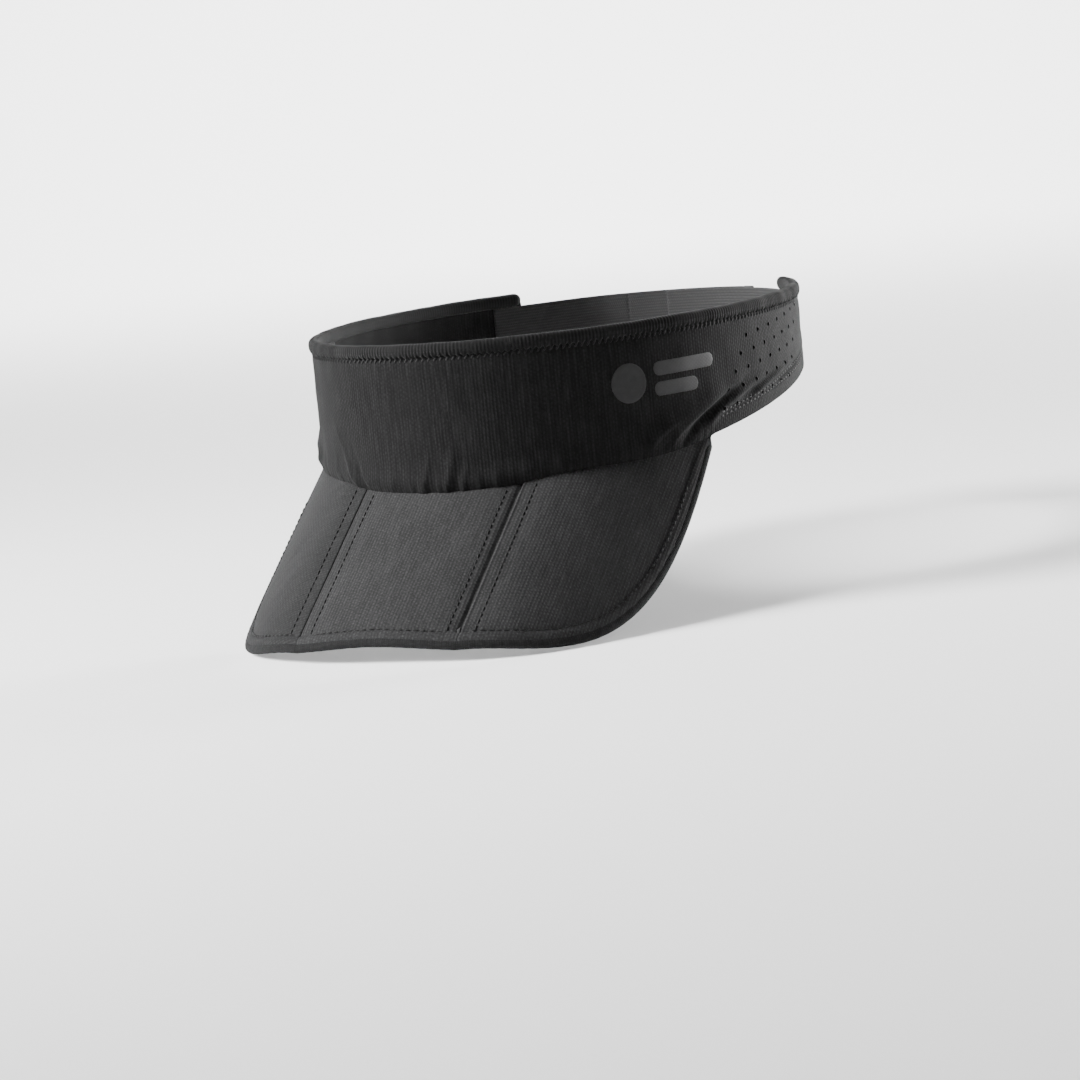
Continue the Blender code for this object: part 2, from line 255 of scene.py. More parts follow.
# ---- folds of the worn knit
# Each fold runs through three (angle, height in mm) places; then height off the ring, and how far in mm it
# spreads above and below its line.
DRAG_FOLDS = [
    ((50.0, 6.0), (53.5, 11.6), (60.5, 16.5), 1.15, 4.0, 1.0),
    ((52.5, 5.0), (56.5, 10.0), (62.0, 14.5), -0.55, 1.2, 1.6),
    ((55.3, 6.0), (61.5, 14.4), (77.0, 24.4), 1.55, 4.4, 1.0),
    ((57.5, 4.5), (66.0, 15.6), (83.0, 26.6), -1.25, 1.2, 1.7),
    ((65.0, 9.5), (73.0, 17.9), (90.0, 25.4), 0.80, 1.3, 1.5),
    ((74.0, 16.6), (82.0, 20.8), (93.0, 24.8), -0.75, 0.9, 1.1),
    ((80.5, 16.6), (88.0, 21.7), (109.0, 28.5), 0.95, 1.3, 0.9),
    ((88.0, 17.2), (97.5, 22.2), (120.0, 27.3), -1.00, 1.0, 1.1),
    ((87.0, 16.8), (98.0, 20.7), (121.0, 25.4), 0.60, 1.0, 1.3),
]
# Upright gathers where the knit is sewn to the brim: (angle, lean in degrees, width, height, reach in mm).
PUCKERS = [
    (-21.5, -3.0, 1.5, -0.80, 10.0), (-24.5, -4.5, 1.6, 0.75, 12.0), (-12.0, 0.8, 1.5, 0.25, 7.0),
    (-4.8, 1.0, 1.1, -0.25, 7.0), (-2.8, 2.0, 1.3, 0.65, 11.0), (-0.2, 1.0, 1.1, -0.30, 8.0),
    (1.6, 1.0, 1.0, 0.35, 6.0), (3.6, 1.8, 1.3, 0.70, 12.0), (5.9, 2.0, 1.2, -0.35, 9.0),
    (7.8, 1.6, 1.0, 0.45, 8.0), (11.5, 0.8, 1.2, 0.25, 6.0), (16.0, 1.0, 1.3, 0.30, 7.0),
    (20.5, 0.5, 1.2, -0.25, 6.0), (30.0, 1.5, 1.6, 0.25, 9.0), (38.0, 2.0, 1.6, -0.25, 8.0),
    (-33.0, -2.0, 1.6, 0.25, 9.0), (-42.0, -2.0, 1.6, -0.25, 8.0), (-50.0, -2.0, 1.6, 0.25, 8.0),
]


def fold_curve(first, middle, last):
    """Points of the arc through three (angle, height) places, as (length round the ring, height)."""
    knots = [np.array([arc(a), h * MM]) for a, h in (first, middle, last)]
    control = 2 * knots[1] - (knots[0] + knots[2]) / 2
    share = np.linspace(0, 1, 15)[:, None]
    return (1 - share) ** 2 * knots[0] + 2 * share * (1 - share) * control + share ** 2 * knots[2]


def distance_along(curve, across, up):
    """Distance from each place to a line of points, negative below it, and the share of the line reached."""
    nearest, reached = np.full(across.shape, 1.0), np.zeros(across.shape)
    for index, (start, end) in enumerate(zip(curve, curve[1:])):
        step = end - start
        share = np.clip(((across - start[0]) * step[0] + (up - start[1]) * step[1]) / (step @ step), 0.0, 1.0)
        away = across - start[0] - share * step[0], up - start[1] - share * step[1]
        distance = np.hypot(*away)
        closer = distance < np.abs(nearest)
        nearest = np.where(closer, distance * np.where(step[0] * away[1] > step[1] * away[0], 1, -1), nearest)
        reached = np.where(closer, (index + share) / (len(curve) - 1), reached)
    return nearest, reached


def fold_height(angle, z):
    """How far the knit stands off the ring, in metres."""
    angle, z = np.broadcast_arrays(np.asarray(angle, float), np.asarray(z, float))
    length = arc(angle)
    total = 0.12 * MM * ripple(length, z, 3)
    for side in SIDES.values():
        near = (length * side > arc(44)) & (length * side < arc(124))
        for first, middle, last, height, above, below in DRAG_FOLDS if near.any() else ():
            gap, reached = distance_along(fold_curve(first, middle, last), side * length[near], z[near])
            ends = 0.1 + 0.9 * smooth(0.0, 0.3, reached) * smooth(1.0, 0.6, reached)
            total[near] += height * MM * ends * bump(gap, np.where(gap > 0, above, below) * MM)
    above = z - lower_edge(angle)
    for place, lean, width, height, reach in PUCKERS:
        centre = arc(place + lean * above / (10 * MM))
        total += height * MM * bump(length - centre, width * MM) * bump(above, reach * MM)
    gather = np.cos(2 * math.pi * length / (2.9 * MM) + 1.5 * np.sin(length / (11 * MM)))
    total += 0.13 * MM * gather * np.exp(-above / (2.2 * MM)) * (np.abs(angle) < TEMPLE_ANGLE)
    # The front bottom edge swells over the brim, then curls in to its seam.
    front = smooth(TEMPLE_ANGLE + 2, TEMPLE_ANGLE - 6, np.abs(angle))
    total += front * MM * (0.55 * bump(above - 3.2 * MM, 3.0 * MM) - 0.5 * np.exp(-above / (0.9 * MM)))
    # The binding draws the knit in.
    total -= 0.45 * MM * bump(BINDING_SEAM_Z - z, 1.3 * MM)
    # Twin needle lines hold the rear hem down.
    rear = smooth(TEMPLE_ANGLE - 1, TEMPLE_ANGLE + 6, np.abs(angle))
    total *= 1 - 0.7 * rear * smooth(6.4 * MM, 4.6 * MM, above)
    for line in HEM_LINES:
        total -= 0.30 * MM * rear * bump(above - line, 0.42 * MM)
    return total * smooth(-1.0 * MM, 1.5 * MM, above + 0.9 * MM)


# ---- mesh helpers
def new_piece(name, vertices, faces, material, slot=None, uv=None, flat_angle=None, normals=None):
    mesh = bpy.data.meshes.new(name)
    mesh.from_pydata(np.asarray(vertices, float).reshape(-1, 3).tolist(), [], faces)
    mesh.materials.append(material)
    if uv is not None:
        layer = mesh.uv_layers.new(name="UVMap")
        corners = np.empty(len(mesh.loops), np.int32)
        mesh.loops.foreach_get("vertex_index", corners)
        layer.data.foreach_set("uv", np.asarray(uv, float).reshape(-1, 2)[corners].ravel())
    mesh.shade_smooth()
    if flat_angle:
        mesh.set_sharp_from_angle(angle=math.radians(flat_angle))
    if normals is not None and np.any(normals):
        mesh.normals_split_custom_set_from_vertices(normals.tolist())
    made = bpy.data.objects.new(name, mesh)
    bpy.context.scene.collection.objects.link(made)
    return made


def trim(cuts):
    """The columns or stations of a grid that stay when its ends that continue lose their helper line."""
    return slice(1 if cuts[0] else 0, -1 if cuts[1] else None)


def shell(name, outer, inner, material, uv, slot, holes=None, flip=False, cuts=(False, False), normals=None):
    """Cloth of real thickness between two grids, with rolled edges; holes marks cells left out.

    A side named in cuts continues in the next piece: its end is cut flat and keeps the normals given.
    """
    rows, columns = outer.shape[:2]
    count = rows * columns
    index = np.arange(count).reshape(rows, columns)
    top = index[:-1, :-1].reshape(-1, 1) + (0, columns, columns + 1, 1)
    if holes is not None:
        top = top[~holes.reshape(-1)]
    vertices = [outer.reshape(-1, 3), inner.reshape(-1, 3)]
    uvs = [uv.reshape(-1, 2), uv.reshape(-1, 2)]
    faces = [top, top[:, ::-1] + count]
    loop = np.concatenate([index[0], index[1:, -1], index[-1, -2::-1], index[-2:0:-1, 0]])
    i, j = np.divmod(loop, columns)
    inside = np.clip(i, 1, rows - 2), np.clip(j, 0 if cuts[0] else 1, columns - (1 if cuts[1] else 2))
    half = (outer[i, j] - inner[i, j]) / 2
    centre = (outer[i, j] + inner[i, j]) / 2
    size = np.linalg.norm(half, axis=1, keepdims=True)
    outward = outer[i, j] - outer[inside]
    outward = outward - half * np.sum(outward * half, axis=1, keepdims=True) / size ** 2
    outward = outward / np.maximum(np.linalg.norm(outward, axis=1, keepdims=True), 1e-9) * size * 0.9
    on_cut = ((j == 0) & cuts[0]) | ((j == columns - 1) & cuts[1])
    closed = ~(on_cut & np.roll(on_cut, -1))
    strips = [loop]
    for step, bend in enumerate(np.radians((45, 90, 135))):
        strips.append(2 * count + step * len(loop) + np.arange(len(loop)))
        vertices.append(centre + half * math.cos(bend) + outward * math.sin(bend))
        uvs.append(uv[i, j])
    strips.append(loop + count)
    for upper, lower in zip(strips, strips[1:]):
        faces.append(np.stack([upper, np.roll(upper, -1), np.roll(lower, -1), lower], -1)[closed])
    faces.append(np.stack([loop, np.roll(loop, -1), np.roll(loop, -1) + count, loop + count], -1)[~closed])
    # Walls through the cloth stand on the hole's rims, which are edges of one face only.
    edges = np.stack([top, np.roll(top, -1, axis=1)], -1).reshape(-1, 2)
    single = ~np.isin(edges @ (count, 1), edges[:, ::-1] @ (count, 1))
    rims = edges[single & ~np.isin(edges, loop).all(1)]
    faces = np.concatenate(faces + [np.concatenate([rims, rims[:, ::-1] + count], 1)])
    if flip:
        faces = faces[:, ::-1]
    vertices, uvs = np.concatenate(vertices), np.concatenate(uvs)
    fixed = np.zeros((len(vertices), 3))
    for side, column in zip(cuts, (0, columns - 1)):
        if side:
            fixed[index[:, column]] = normals[:, column]
            fixed[index[:, column] + count] = -normals[:, column]
    used, faces = np.unique(faces, return_inverse=True)
    return new_piece(name, vertices[used], faces.reshape(-1, 4).tolist(), material, slot, uvs[used],
                     normals=fixed[used])


def ring_cloth(name, angles, z, offsets, material, slot, holes=None, cuts=(False, False)):
    """Cloth on the ring, whose outer and inner faces have these offsets."""
    uv = np.stack([arc(angles) * 1000, z * 1000], -1)
    outer, inner = (ring(angles, z, offset) for offset in offsets)
    outer, inner, uv, normals = (grid[:, trim(cuts)] for grid in (outer, inner, uv, grid_normals(outer)))
    holes = holes if holes is None else holes[:, trim(cuts)]
    piece = shell(name, outer, inner, material, uv, slot, holes, cuts=cuts, normals=normals)
    return piece


def grid_normals(points):
    """Unit normals of a grid whose rows run down and columns run left."""
    return unit(np.cross(np.gradient(points, axis=0), np.gradient(points, axis=1)))


def rods(name, points, material, slot, flip=False, *looks):
    """Closed rods: points holds for each rod its sections, and for each section its corners."""
    count, levels, sides = points.shape[:3]
    a, b = np.meshgrid(np.arange(levels - 1) * sides, np.arange(sides), indexing="ij")
    c = (b + 1) % sides
    walls = np.stack([a + c, a + sides + c, a + sides + b, a + b], -1).reshape(-1, 4).tolist()
    walls += [list(reversed(range(sides))), list(range((levels - 1) * sides, levels * sides))]
    if flip:
        walls = [face[::-1] for face in walls]
    starts = range(0, count * levels * sides, levels * sides)
    faces = [[start + k for k in face] for start in starts for face in walls]
    return new_piece(name, points, faces, material, slot, *looks)


def tube(name, points, material, uv, slot, flip, cuts=(False, False), normals=None):
    """One rod through rings of points; an end in cuts continues in the next piece."""
    fixed = np.zeros(points.shape)
    for cut, end in zip(cuts, (0, -1)):
        if cut:
            fixed[end] = normals[end]
    return rods(name, points[None], material, slot, not flip, uv, 60, fixed.reshape(-1, 3))


STITCH_PROFILE = np.array([(-0.5, 0.15, -0.9), (-0.42, 0.75, -0.35), (-0.2, 1.0, 0.15), (0.2, 1.0, 0.15),
                           (0.42, 0.75, -0.35), (0.5, 0.15, -0.9)])
STITCH_BENDS = np.radians(np.arange(0, 360, 60))[:, None]


def stitches(name, lines, slot, pitch, share, thickness, slant=0.0, sink=0.3):
    """Thread stitches along lines; each line is (path, outward normals on the path)."""
    where, size, lift = (column[:, None] for column in STITCH_PROFILE.T)
    found = []
    for path, normals in lines:
        run = np.concatenate([[0.0], np.cumsum(np.linalg.norm(np.diff(path, axis=0), axis=1))])
        count = max(int(run[-1] / pitch), 1)
        places = (np.arange(count) + 0.5) * run[-1] / count

        def on_line(values, shift=0.0):
            return np.stack([np.interp(places + shift, run, values[:, k]) for k in range(3)], -1)

        ahead = unit(on_line(path, 0.2 * MM) - on_line(path, -0.2 * MM))
        normal = unit(on_line(normals))
        side = np.cross(normal, ahead)
        c, s = math.cos(math.radians(slant)), math.sin(math.radians(slant))
        ahead, side = ahead * c + side * s, side * c - ahead * s
        normal, side = normal[:, None], side[:, None]
        rise = normal * thickness * (lift * 0.5 + 0.5 - sink)
        centre = on_line(path)[:, None] + ahead[:, None] * where * pitch * share + rise
        around = normal * np.cos(STITCH_BENDS) * 0.8 + side * np.sin(STITCH_BENDS)
        found.append(centre[:, :, None] + around[:, None] * (thickness * size)[..., None])
    return rods(name, np.concatenate(found), THREAD, slot)


# ---- materials
class Nodes:
    """Small helper that builds a node tree from expressions."""

    def __init__(self, name):
        self.material = bpy.data.materials.new(name)
        self.material.use_nodes = True
        self.tree = self.material.node_tree

    def feed(self, node, inputs):
        for key, value in dict(inputs).items():
            if isinstance(value, bpy.types.NodeSocket):
                self.tree.links.new(value, node.inputs[key])
            else:
                node.inputs[key].default_value = value

    def add(self, kind, inputs=(), **settings):
        """New node; inputs gives each socket a value or another node's output."""
        node = self.tree.nodes.new(kind)
        for key, value in settings.items():
            setattr(node, key, value)
        self.feed(node, inputs)
        return node

    def math(self, operation, *values):
        return self.add("ShaderNodeMath", enumerate(values), operation=operation).outputs[0]

    def plus(self, a, b):
        return self.math("ADD", a, b)

    def minus(self, a, b):
        return self.math("SUBTRACT", a, b)

    def times(self, a, b):
        return self.math("MULTIPLY", a, b)

    def times_plus(self, a, b, c):
        return self.math("MULTIPLY_ADD", a, b, c)

    def uv(self):
        """UV coordinates, which are lengths on the cloth in millimetres."""
        vector = self.add("ShaderNodeUVMap", uv_map="UVMap").outputs[0]
        split = self.add("ShaderNodeSeparateXYZ", {0: vector})
        return vector, split.outputs[0], split.outputs[1]

    def place(self):
        """Object coordinates in millimetres."""
        vector = self.add("ShaderNodeTexCoord").outputs["Object"]
        return self.add("ShaderNodeVectorMath", {0: vector, "Scale": 1000.0}, operation="SCALE").outputs[0]

    def noise(self, vector, scale, detail=2.0, roughness=0.5):
        inputs = {"Vector": vector, "Scale": scale, "Detail": detail, "Roughness": roughness}
        return self.add("ShaderNodeTexNoise", inputs).outputs["Fac"]

    def cells(self, vector, scale):
        return self.add("ShaderNodeTexVoronoi", {"Vector": vector, "Scale": scale}).outputs["Distance"]

    def wave(self, value, pitch, phase=0.0):
        return self.math("COSINE", self.times_plus(value, 2 * math.pi / pitch, phase))

    def ramp(self, value, low, high):
        return self.add("ShaderNodeMapRange", {0: value, 1: low, 2: high}).outputs[0]

    def finish(self, share, dark, light, roughness, height=None, depth=0.1 * MM, sheen=0.0, strength=1.0,
               specular=0.35, blue=1.015):
        """Grey that runs from dark to light by share, over relief that is depth deep."""
        tones = [(value, value, value * blue, 1) for value in (dark, light)]
        colour = self.add("ShaderNodeMix", {0: share, 6: tones[0], 7: tones[1]}, data_type="RGBA").outputs[2]
        inputs = {"Base Color": colour, "Roughness": roughness, "Specular IOR Level": specular}
        if sheen:
            inputs |= {"Sheen Weight": sheen, "Sheen Roughness": 0.45}
        if height is not None:
            relief = self.add("ShaderNodeBump", {"Strength": strength, "Distance": depth, "Height": height})
            inputs["Normal"] = relief.outputs[0]
        self.feed(self.tree.nodes["Principled BSDF"], inputs)
        return self.material


def knit_material(name, tone, wale=1.15, course=1.5, turned=False, contrast=1.0, streak=0.25):
    """Fine pique: upright wales of small stitch heads, staggered and uneven, with streaks along the wales;
    patches of heads are coloured lighter and the valleys darker, as painted highlight and painted shade.
    """
    n = Nodes(name)
    vector, u, v = n.uv()
    if turned:
        u, v = v, u
    u = n.plus(u, n.times(n.minus(n.noise(vector, 0.12), 0.5), 0.4))
    column = n.math("FLOOR", n.math("DIVIDE", u, wale))
    dice = n.add("ShaderNodeTexWhiteNoise", {"W": column}, noise_dimensions="1D").outputs["Value"]
    stagger = n.times_plus(dice, 1.7, n.times(column, math.pi))
    rows = n.ramp(n.wave(n.minus(u, n.times(column, wale)), wale, math.pi), -1.0, 1.0)
    stagger = n.times_plus(n.noise(vector, 0.4), 3.5, stagger)
    beat = n.wave(v, course, stagger)
    heads = n.times(rows, n.ramp(beat, -1.0, 1.0))
    fibre = n.noise(vector, 2.2, 3.0, 0.7)
    height = n.times_plus(fibre, 0.60, n.plus(n.times(heads, 0.32), n.times(rows, 0.25)))
    stretched = n.add("ShaderNodeCombineXYZ", {0: u, 1: n.times(v, 0.09)}).outputs[0]
    lines = n.minus(n.noise(stretched, 0.85, 2.0, 0.65), 0.5)
    patch = n.minus(n.noise(vector, 0.05, 3.0, 0.6), 0.5)
    uneven = n.ramp(n.noise(vector, 0.75, 1.0), 0.36, 0.68)
    # Painted highlight: patches of stitch heads coloured lighter than the knit.
    head_highlight = n.ramp(n.times(heads, uneven), 0.08, 0.8)
    grain = n.minus(n.noise(vector, 1.2, 2.0, 0.7), 0.5)
    # Painted shade: the colour darkens where the relief is low, between the heads; grain, streaks and patches
    # are the knit's own uneven tone.
    shade = n.times_plus(head_highlight, 0.34 - 0.18 * streak, n.times(height, 0.30))
    for layer, weight in ((grain, 0.95), (lines, 0.25 + 1.3 * streak), (patch, 0.30)):
        shade = n.times_plus(layer, weight, shade)
    rough = n.times_plus(heads, -0.10, 0.88)
    low, high = tone * (1 - 0.42 * contrast), tone * (1 + 0.75 * contrast)
    return n.finish(n.ramp(shade, 0.0, 0.9), low, high, rough, height, 0.12 * MM, 0.02, specular=0.06)


def rib_material(name, tone):
    n = Nodes(name)
    vector, u, v = n.uv()
    rib = n.ramp(n.wave(u, 1.2), -1.0, 0.8)
    loops = n.ramp(n.wave(v, 0.55), -1.0, 1.0)
    fibre = n.noise(vector, 2.6, 3.0, 0.7)
    height = n.plus(n.times(loops, 0.25), n.times(fibre, 0.45))
    shade = n.ramp(n.times_plus(fibre, 0.6, n.times(rib, 0.6)), 0.1, 1.05)
    return n.finish(shade, tone * 0.4, tone * 1.65, 0.88, height, 0.10 * MM, 0.04, specular=0.1)


def terry_material(name, tone):
    n = Nodes(name)
    vector = n.uv()[0]
    loops = n.minus(1.0, n.ramp(n.cells(vector, 1.25), 0.0, 0.75))
    height = n.times_plus(n.noise(vector, 3.0, 3.0, 0.7), 0.4, loops)
    shade = n.ramp(n.times(height, n.noise(vector, 0.3, 2.0)), 0.1, 0.85)
    return n.finish(shade, tone * 0.45, tone * 1.6, 0.95, height, 0.35 * MM, 0.08, specular=0.15)


def woven_material(name, tone, warp, weft, depth=0.12 * MM):
    """Flat weave: long warp ribs crossed by weft bars."""
    n = Nodes(name)
    vector, u, v = n.uv()
    long_ribs = n.ramp(n.wave(v, warp), -1.0, 1.0)
    cross = n.ramp(n.times(n.wave(v, warp * 2), n.wave(u, weft)), -1.0, 1.0)
    fibre = n.noise(vector, 2.4, 3.0, 0.7)
    height = n.plus(n.times(long_ribs, 0.5), n.times(cross, 0.5))
    shade = n.ramp(n.times_plus(fibre, 0.5, n.times(height, 0.6)), 0.15, 1.0)
    return n.finish(shade, tone * 0.5, tone * 1.5, 0.84, height, depth, 0.04, specular=0.2)


def pile_material(name, tone, scale=1.6, depth=0.5 * MM):
    n = Nodes(name)
    place = n.place()
    tufts = n.noise(place, scale, 4.0, 0.75)
    height = n.minus(tufts, n.times(n.cells(place, scale * 1.2), 0.5))
    return n.finish(n.ramp(tufts, 0.3, 0.72), tone * 0.4, tone * 1.7, 0.95, height, depth, 0.5)


def thread_material(name, tone):
    n = Nodes(name)
    twist = n.noise(n.place(), 3.5, 2.0, 0.6)
    return n.finish(twist, tone * 0.6, tone * 1.5, 0.7, twist, 0.05 * MM, specular=0.2)


def moulded_material(name, tone, roughness, grain=0.05 * MM):
    n = Nodes(name)
    place = n.place()
    fine, broad = n.noise(place, 3.0, 2.0), n.noise(place, 0.15, 2.0)
    rough = n.times_plus(broad, 0.15, roughness - 0.07)
    return n.finish(broad, tone * 0.85, tone * 1.15, rough, fine, grain)


def print_material(name, tone):
    """Heat-set reflective film: fine beads over the knit's relief."""
    n = Nodes(name)
    vector, u, v = n.uv()
    beads = n.noise(vector, 5.0, 1.0)
    height = n.times_plus(n.times(n.wave(u, 1.55), n.wave(v, 1.25)), 0.3, beads)
    wear = n.noise(vector, 0.5, 3.0, 0.6)
    shade = n.ramp(n.times_plus(beads, 0.4, n.times(wear, 0.8)), 0.3, 0.9)
    return n.finish(shade, tone * 0.8, tone * 1.2, 0.52, height, 0.05 * MM, strength=0.7, specular=0.17)


BAND_KNIT = knit_material("band_knit", 0.0080, streak=0.9)
BRIM_KNIT = knit_material("brim_knit", 0.0245, 1.2, 1.3)
# The right panel's copy of the brim knit runs turned and is coloured darker than the brim knit, as painted
# shade on that panel.
BRIM_KNIT_TURNED_SHADED = knit_material("brim_knit_turned_shaded", 0.0185, 1.2, 1.3, turned=True)
LINING = knit_material("brim_lining", 0.032, 0.9, 0.9, contrast=0.7)
RIB = rib_material("binding_rib", 0.0055)
# The piping is coloured darker than the brim knit it rolls over, as painted shade on the roll under the edge.
PIPING_SHADED = knit_material("piping_knit_shaded", 0.013, 0.8, 0.8)
TERRY = terry_material("sweatband_terry", 0.026)
TAPE = woven_material("woven_tape", 0.016, 0.8, 0.6)
ELASTIC_WEAVE = woven_material("woven_elastic", 0.018, 1.05, 0.75, 0.2 * MM)
FOAM = pile_material("foam_laminate", 0.09, 0.9, 0.2 * MM)
LOOP_PILE = pile_material("loop_pile", 0.026)
HOOK = moulded_material("hook_plastic", 0.02, 0.5)
RUBBER = moulded_material("grip_rubber", 0.022, 0.6, 0.08 * MM)
BOARD = moulded_material("board_sheet", 0.1, 0.5)
THREAD = thread_material("dark_thread", 0.005)
SEAM = knit_material("seam_allowance", 0.007, 0.9, 0.9)
LABEL = woven_material("label_satin", 0.3, 0.35, 0.3, 0.03 * MM)
FILM = print_material("reflective_film", 0.014)


# ---- the band
def crease_angle(offset):
    """Where the ring, moved outward by offset, crosses the plane of the left crease."""
    angles = np.linspace(10, 40, 601)
    return float(np.interp(FOLD_X, ring(angles, 0.0, offset)[:, 0], angles))


def sections(low, high, offset):
    """The front, left and right stretches of a layer: (tag, low, high, ends that continue)."""
    cut = crease_angle(offset)
    return (("front", -cut, cut, (True, True)), ("left", cut, high, (True, False)),
            ("right", low, -cut, (False, True)))


def side_ends(side, near, far):
    """Ends of a stretch on one side, the lower angle first."""
    return sorted((side * near, side * far))


def place_on_band(piece, tag, node=None):
    """Hides the part the piece stands for, gives a side piece its own mesh, and hangs the piece on the root
    body.
    """
    if node:
        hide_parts(node)
    if tag in SIDES:
        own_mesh(piece)
    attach(piece, "root")


def hole_centres():
    """(length round the ring, height) of the punched holes on the left, which follow the hem."""
    found = []
    for row in range(5):
        start = 80.2 - 2.4 * row
        for angle in (start + 4.6 * step for step in range(7)):
            if angle < PERFORATED[1] - 3:
                found.append((arc(angle), (38.8 - 5.75 * row + 0.18 * (angle - start)) * MM))
    return found


def knit_columns(low, high):
    """Angles of the knit's columns: close together where it is perforated."""
    length, stop, steps = arc(low), arc(high), []
    while length < stop - 0.3 * MM:
        steps.append(length)
        fine = PERFORATED[0] <= abs(float(angle_of_arc(length))) <= PERFORATED[1]
        length += (0.42 if fine else 0.8) * MM
    return angle_of_arc(np.array(steps + [stop]))


def punch(length, z, side):
    """Draws the grid's points to the rims of the holes; returns the grid and the cells inside a hole."""
    cells = np.zeros((z.shape[0] - 1, z.shape[1] - 1), bool)
    middle_z = (z[:-1, :-1] + z[1:, 1:]) / 2
    middle_length = side * (length[:-1, :-1] + length[1:, 1:]) / 2
    for across, up in hole_centres():
        near = np.hypot(middle_length - across, middle_z - up) < HOLE_RADIUS
        cells |= near
        touched = np.zeros(z.shape, bool)
        for i, j in np.argwhere(near):
            touched[i:i + 2, j:j + 2] = True
        radius = np.hypot(side * length - across, z - up)
        scale = np.where(touched & (radius > 0.25 * MM), HOLE_RADIUS / np.maximum(radius, 1e-6), 1.0)
        length = side * (across + (side * length - across) * scale)
        z = up + (z - up) * scale
    return length, z, cells


def build_knit():
    top = BINDING_SEAM_Z + 1.2 * MM
    for tag, low, high, cuts in sections(-KNIT_END_ANGLE, KNIT_END_ANGLE, 0.0):
        angles = [[low - 0.5] * cuts[0], knit_columns(low, high), [high + 0.5] * cuts[1]]
        angles = np.concatenate(angles)[None, :]
        z = top + (lower_edge(angles) - 0.15 * MM - top) * np.linspace(0, 1, 92)[:, None]
        length = np.broadcast_to(arc(angles), z.shape)
        cells = None
        if tag in SIDES:
            length, z, cells = punch(length, z, SIDES[tag])
        place = angle_of_arc(length)
        lift = fold_height(place, z)
        piece = ring_cloth(f"outer_knit_{tag}", place, z, (lift, lift - KNIT), BAND_KNIT, "knit", cells, cuts)
        place_on_band(piece, tag, "outer_knit")


def build_binding():
    """Ribbed strip rolled over the band's top edge."""
    height = BINDING_TOP_Z - BINDING_SEAM_Z
    inward = KNIT + 2 * GAP + INTERLINING
    bends = np.linspace(0, 2 * math.pi, 25)[:-1]
    for tag, low, high, cuts in sections(-KNIT_END_ANGLE, KNIT_END_ANGLE, -1.2 * MM):
        count = int((arc(high) - arc(low)) / (0.2 * MM))
        step = (arc(high) - arc(low)) / (count - 1)
        length = arc(low) + step * np.arange(-1 * cuts[0], count + cuts[1])[:, None]
        uneven = 0.5 + 0.5 * np.sin(length / (5.3 * MM)) * np.sin(length / (2.1 * MM))
        rib = 0.12 * MM * np.cos(2 * math.pi * length / (1.25 * MM) + 0.9 * np.sin(length / (4 * MM)))
        rib = rib * (0.45 + 0.55 * uneven) * (np.cos(bends) > -0.6)
        sway = 0.22 * MM * ripple(length, 0 * length, 8)
        teeth = 0.35 * MM * np.cos(2 * math.pi * length / (2.1 * MM)) * bump(bends - 5.3, 0.6)
        end = np.abs(np.minimum(length - arc(-KNIT_END_ANGLE), arc(KNIT_END_ANGLE) - length)) / (3 * MM)
        full = np.sqrt(np.clip(1 - (1 - np.minimum(end, 1.0)) ** 2, 0.02, 1.0))
        across, upward = (np.sign(wave) * np.abs(wave) ** 0.82 * full
                          for wave in (np.cos(bends), np.sin(bends)))
        offset = -inward / 2 + (inward / 2 + 0.75 * MM + rib) * across
        z = BINDING_SEAM_Z + height / 2 + (height / 2 + rib * 0.5) * upward + sway * 0.5 + teeth * full
        points = ring(angle_of_arc(length), z, offset + sway * 0.5)
        uv = np.stack(np.broadcast_arrays(length * 1000, bends * 2.6), -1)
        around = np.roll(points, -1, axis=1) - np.roll(points, 1, axis=1)
        points, uv, normals = (grid[trim(cuts)] for grid in (
            points, uv, unit(np.cross(np.gradient(points, axis=0), around))))
        piece = tube(f"top_binding_{tag}", points, RIB, uv, "rib", True, cuts, normals)
        place_on_band(piece, tag, "top_binding")


def band_line(low, high, height, lift=0.0, inside=False):
    """Line round the knit's face at a height above its lower edge, or below the binding if negative."""
    count = max(int((arc(high) - arc(low)) / (0.5 * MM)), 2)
    angles = angle_of_arc(np.linspace(arc(low), arc(high), count))
    z = lower_edge(angles) + height if height > 0 else np.full(count, BINDING_SEAM_Z + height)
    sign = -1 if inside else 1
    path = ring(angles, z, fold_height(angles, z) - KNIT * inside + sign * lift)
    return path, ring_normal(angles) * sign


def build_band_threads():
    for tag, low, high, _ in sections(-KNIT_END_ANGLE, KNIT_END_ANGLE, 0.0):
        lines = [band_line(low + 0.15, high - 0.15, -0.5 * MM, 0.02 * MM)]
        piece = stitches(f"binding_stitches_{tag}", lines, "knit", 2.1 * MM, 0.95, 0.34 * MM, 52.0)
        place_on_band(piece, tag)
        if tag in SIDES:
            ends = side_ends(SIDES[tag], TEMPLE_ANGLE + 1.5, KNIT_END_ANGLE - 1.0)
            lines = [band_line(*ends, line) for line in HEM_LINES]
            place_on_band(stitches(f"hem_stitches_{tag}", lines, "knit", 2.5 * MM, 0.8, 0.30 * MM), tag)


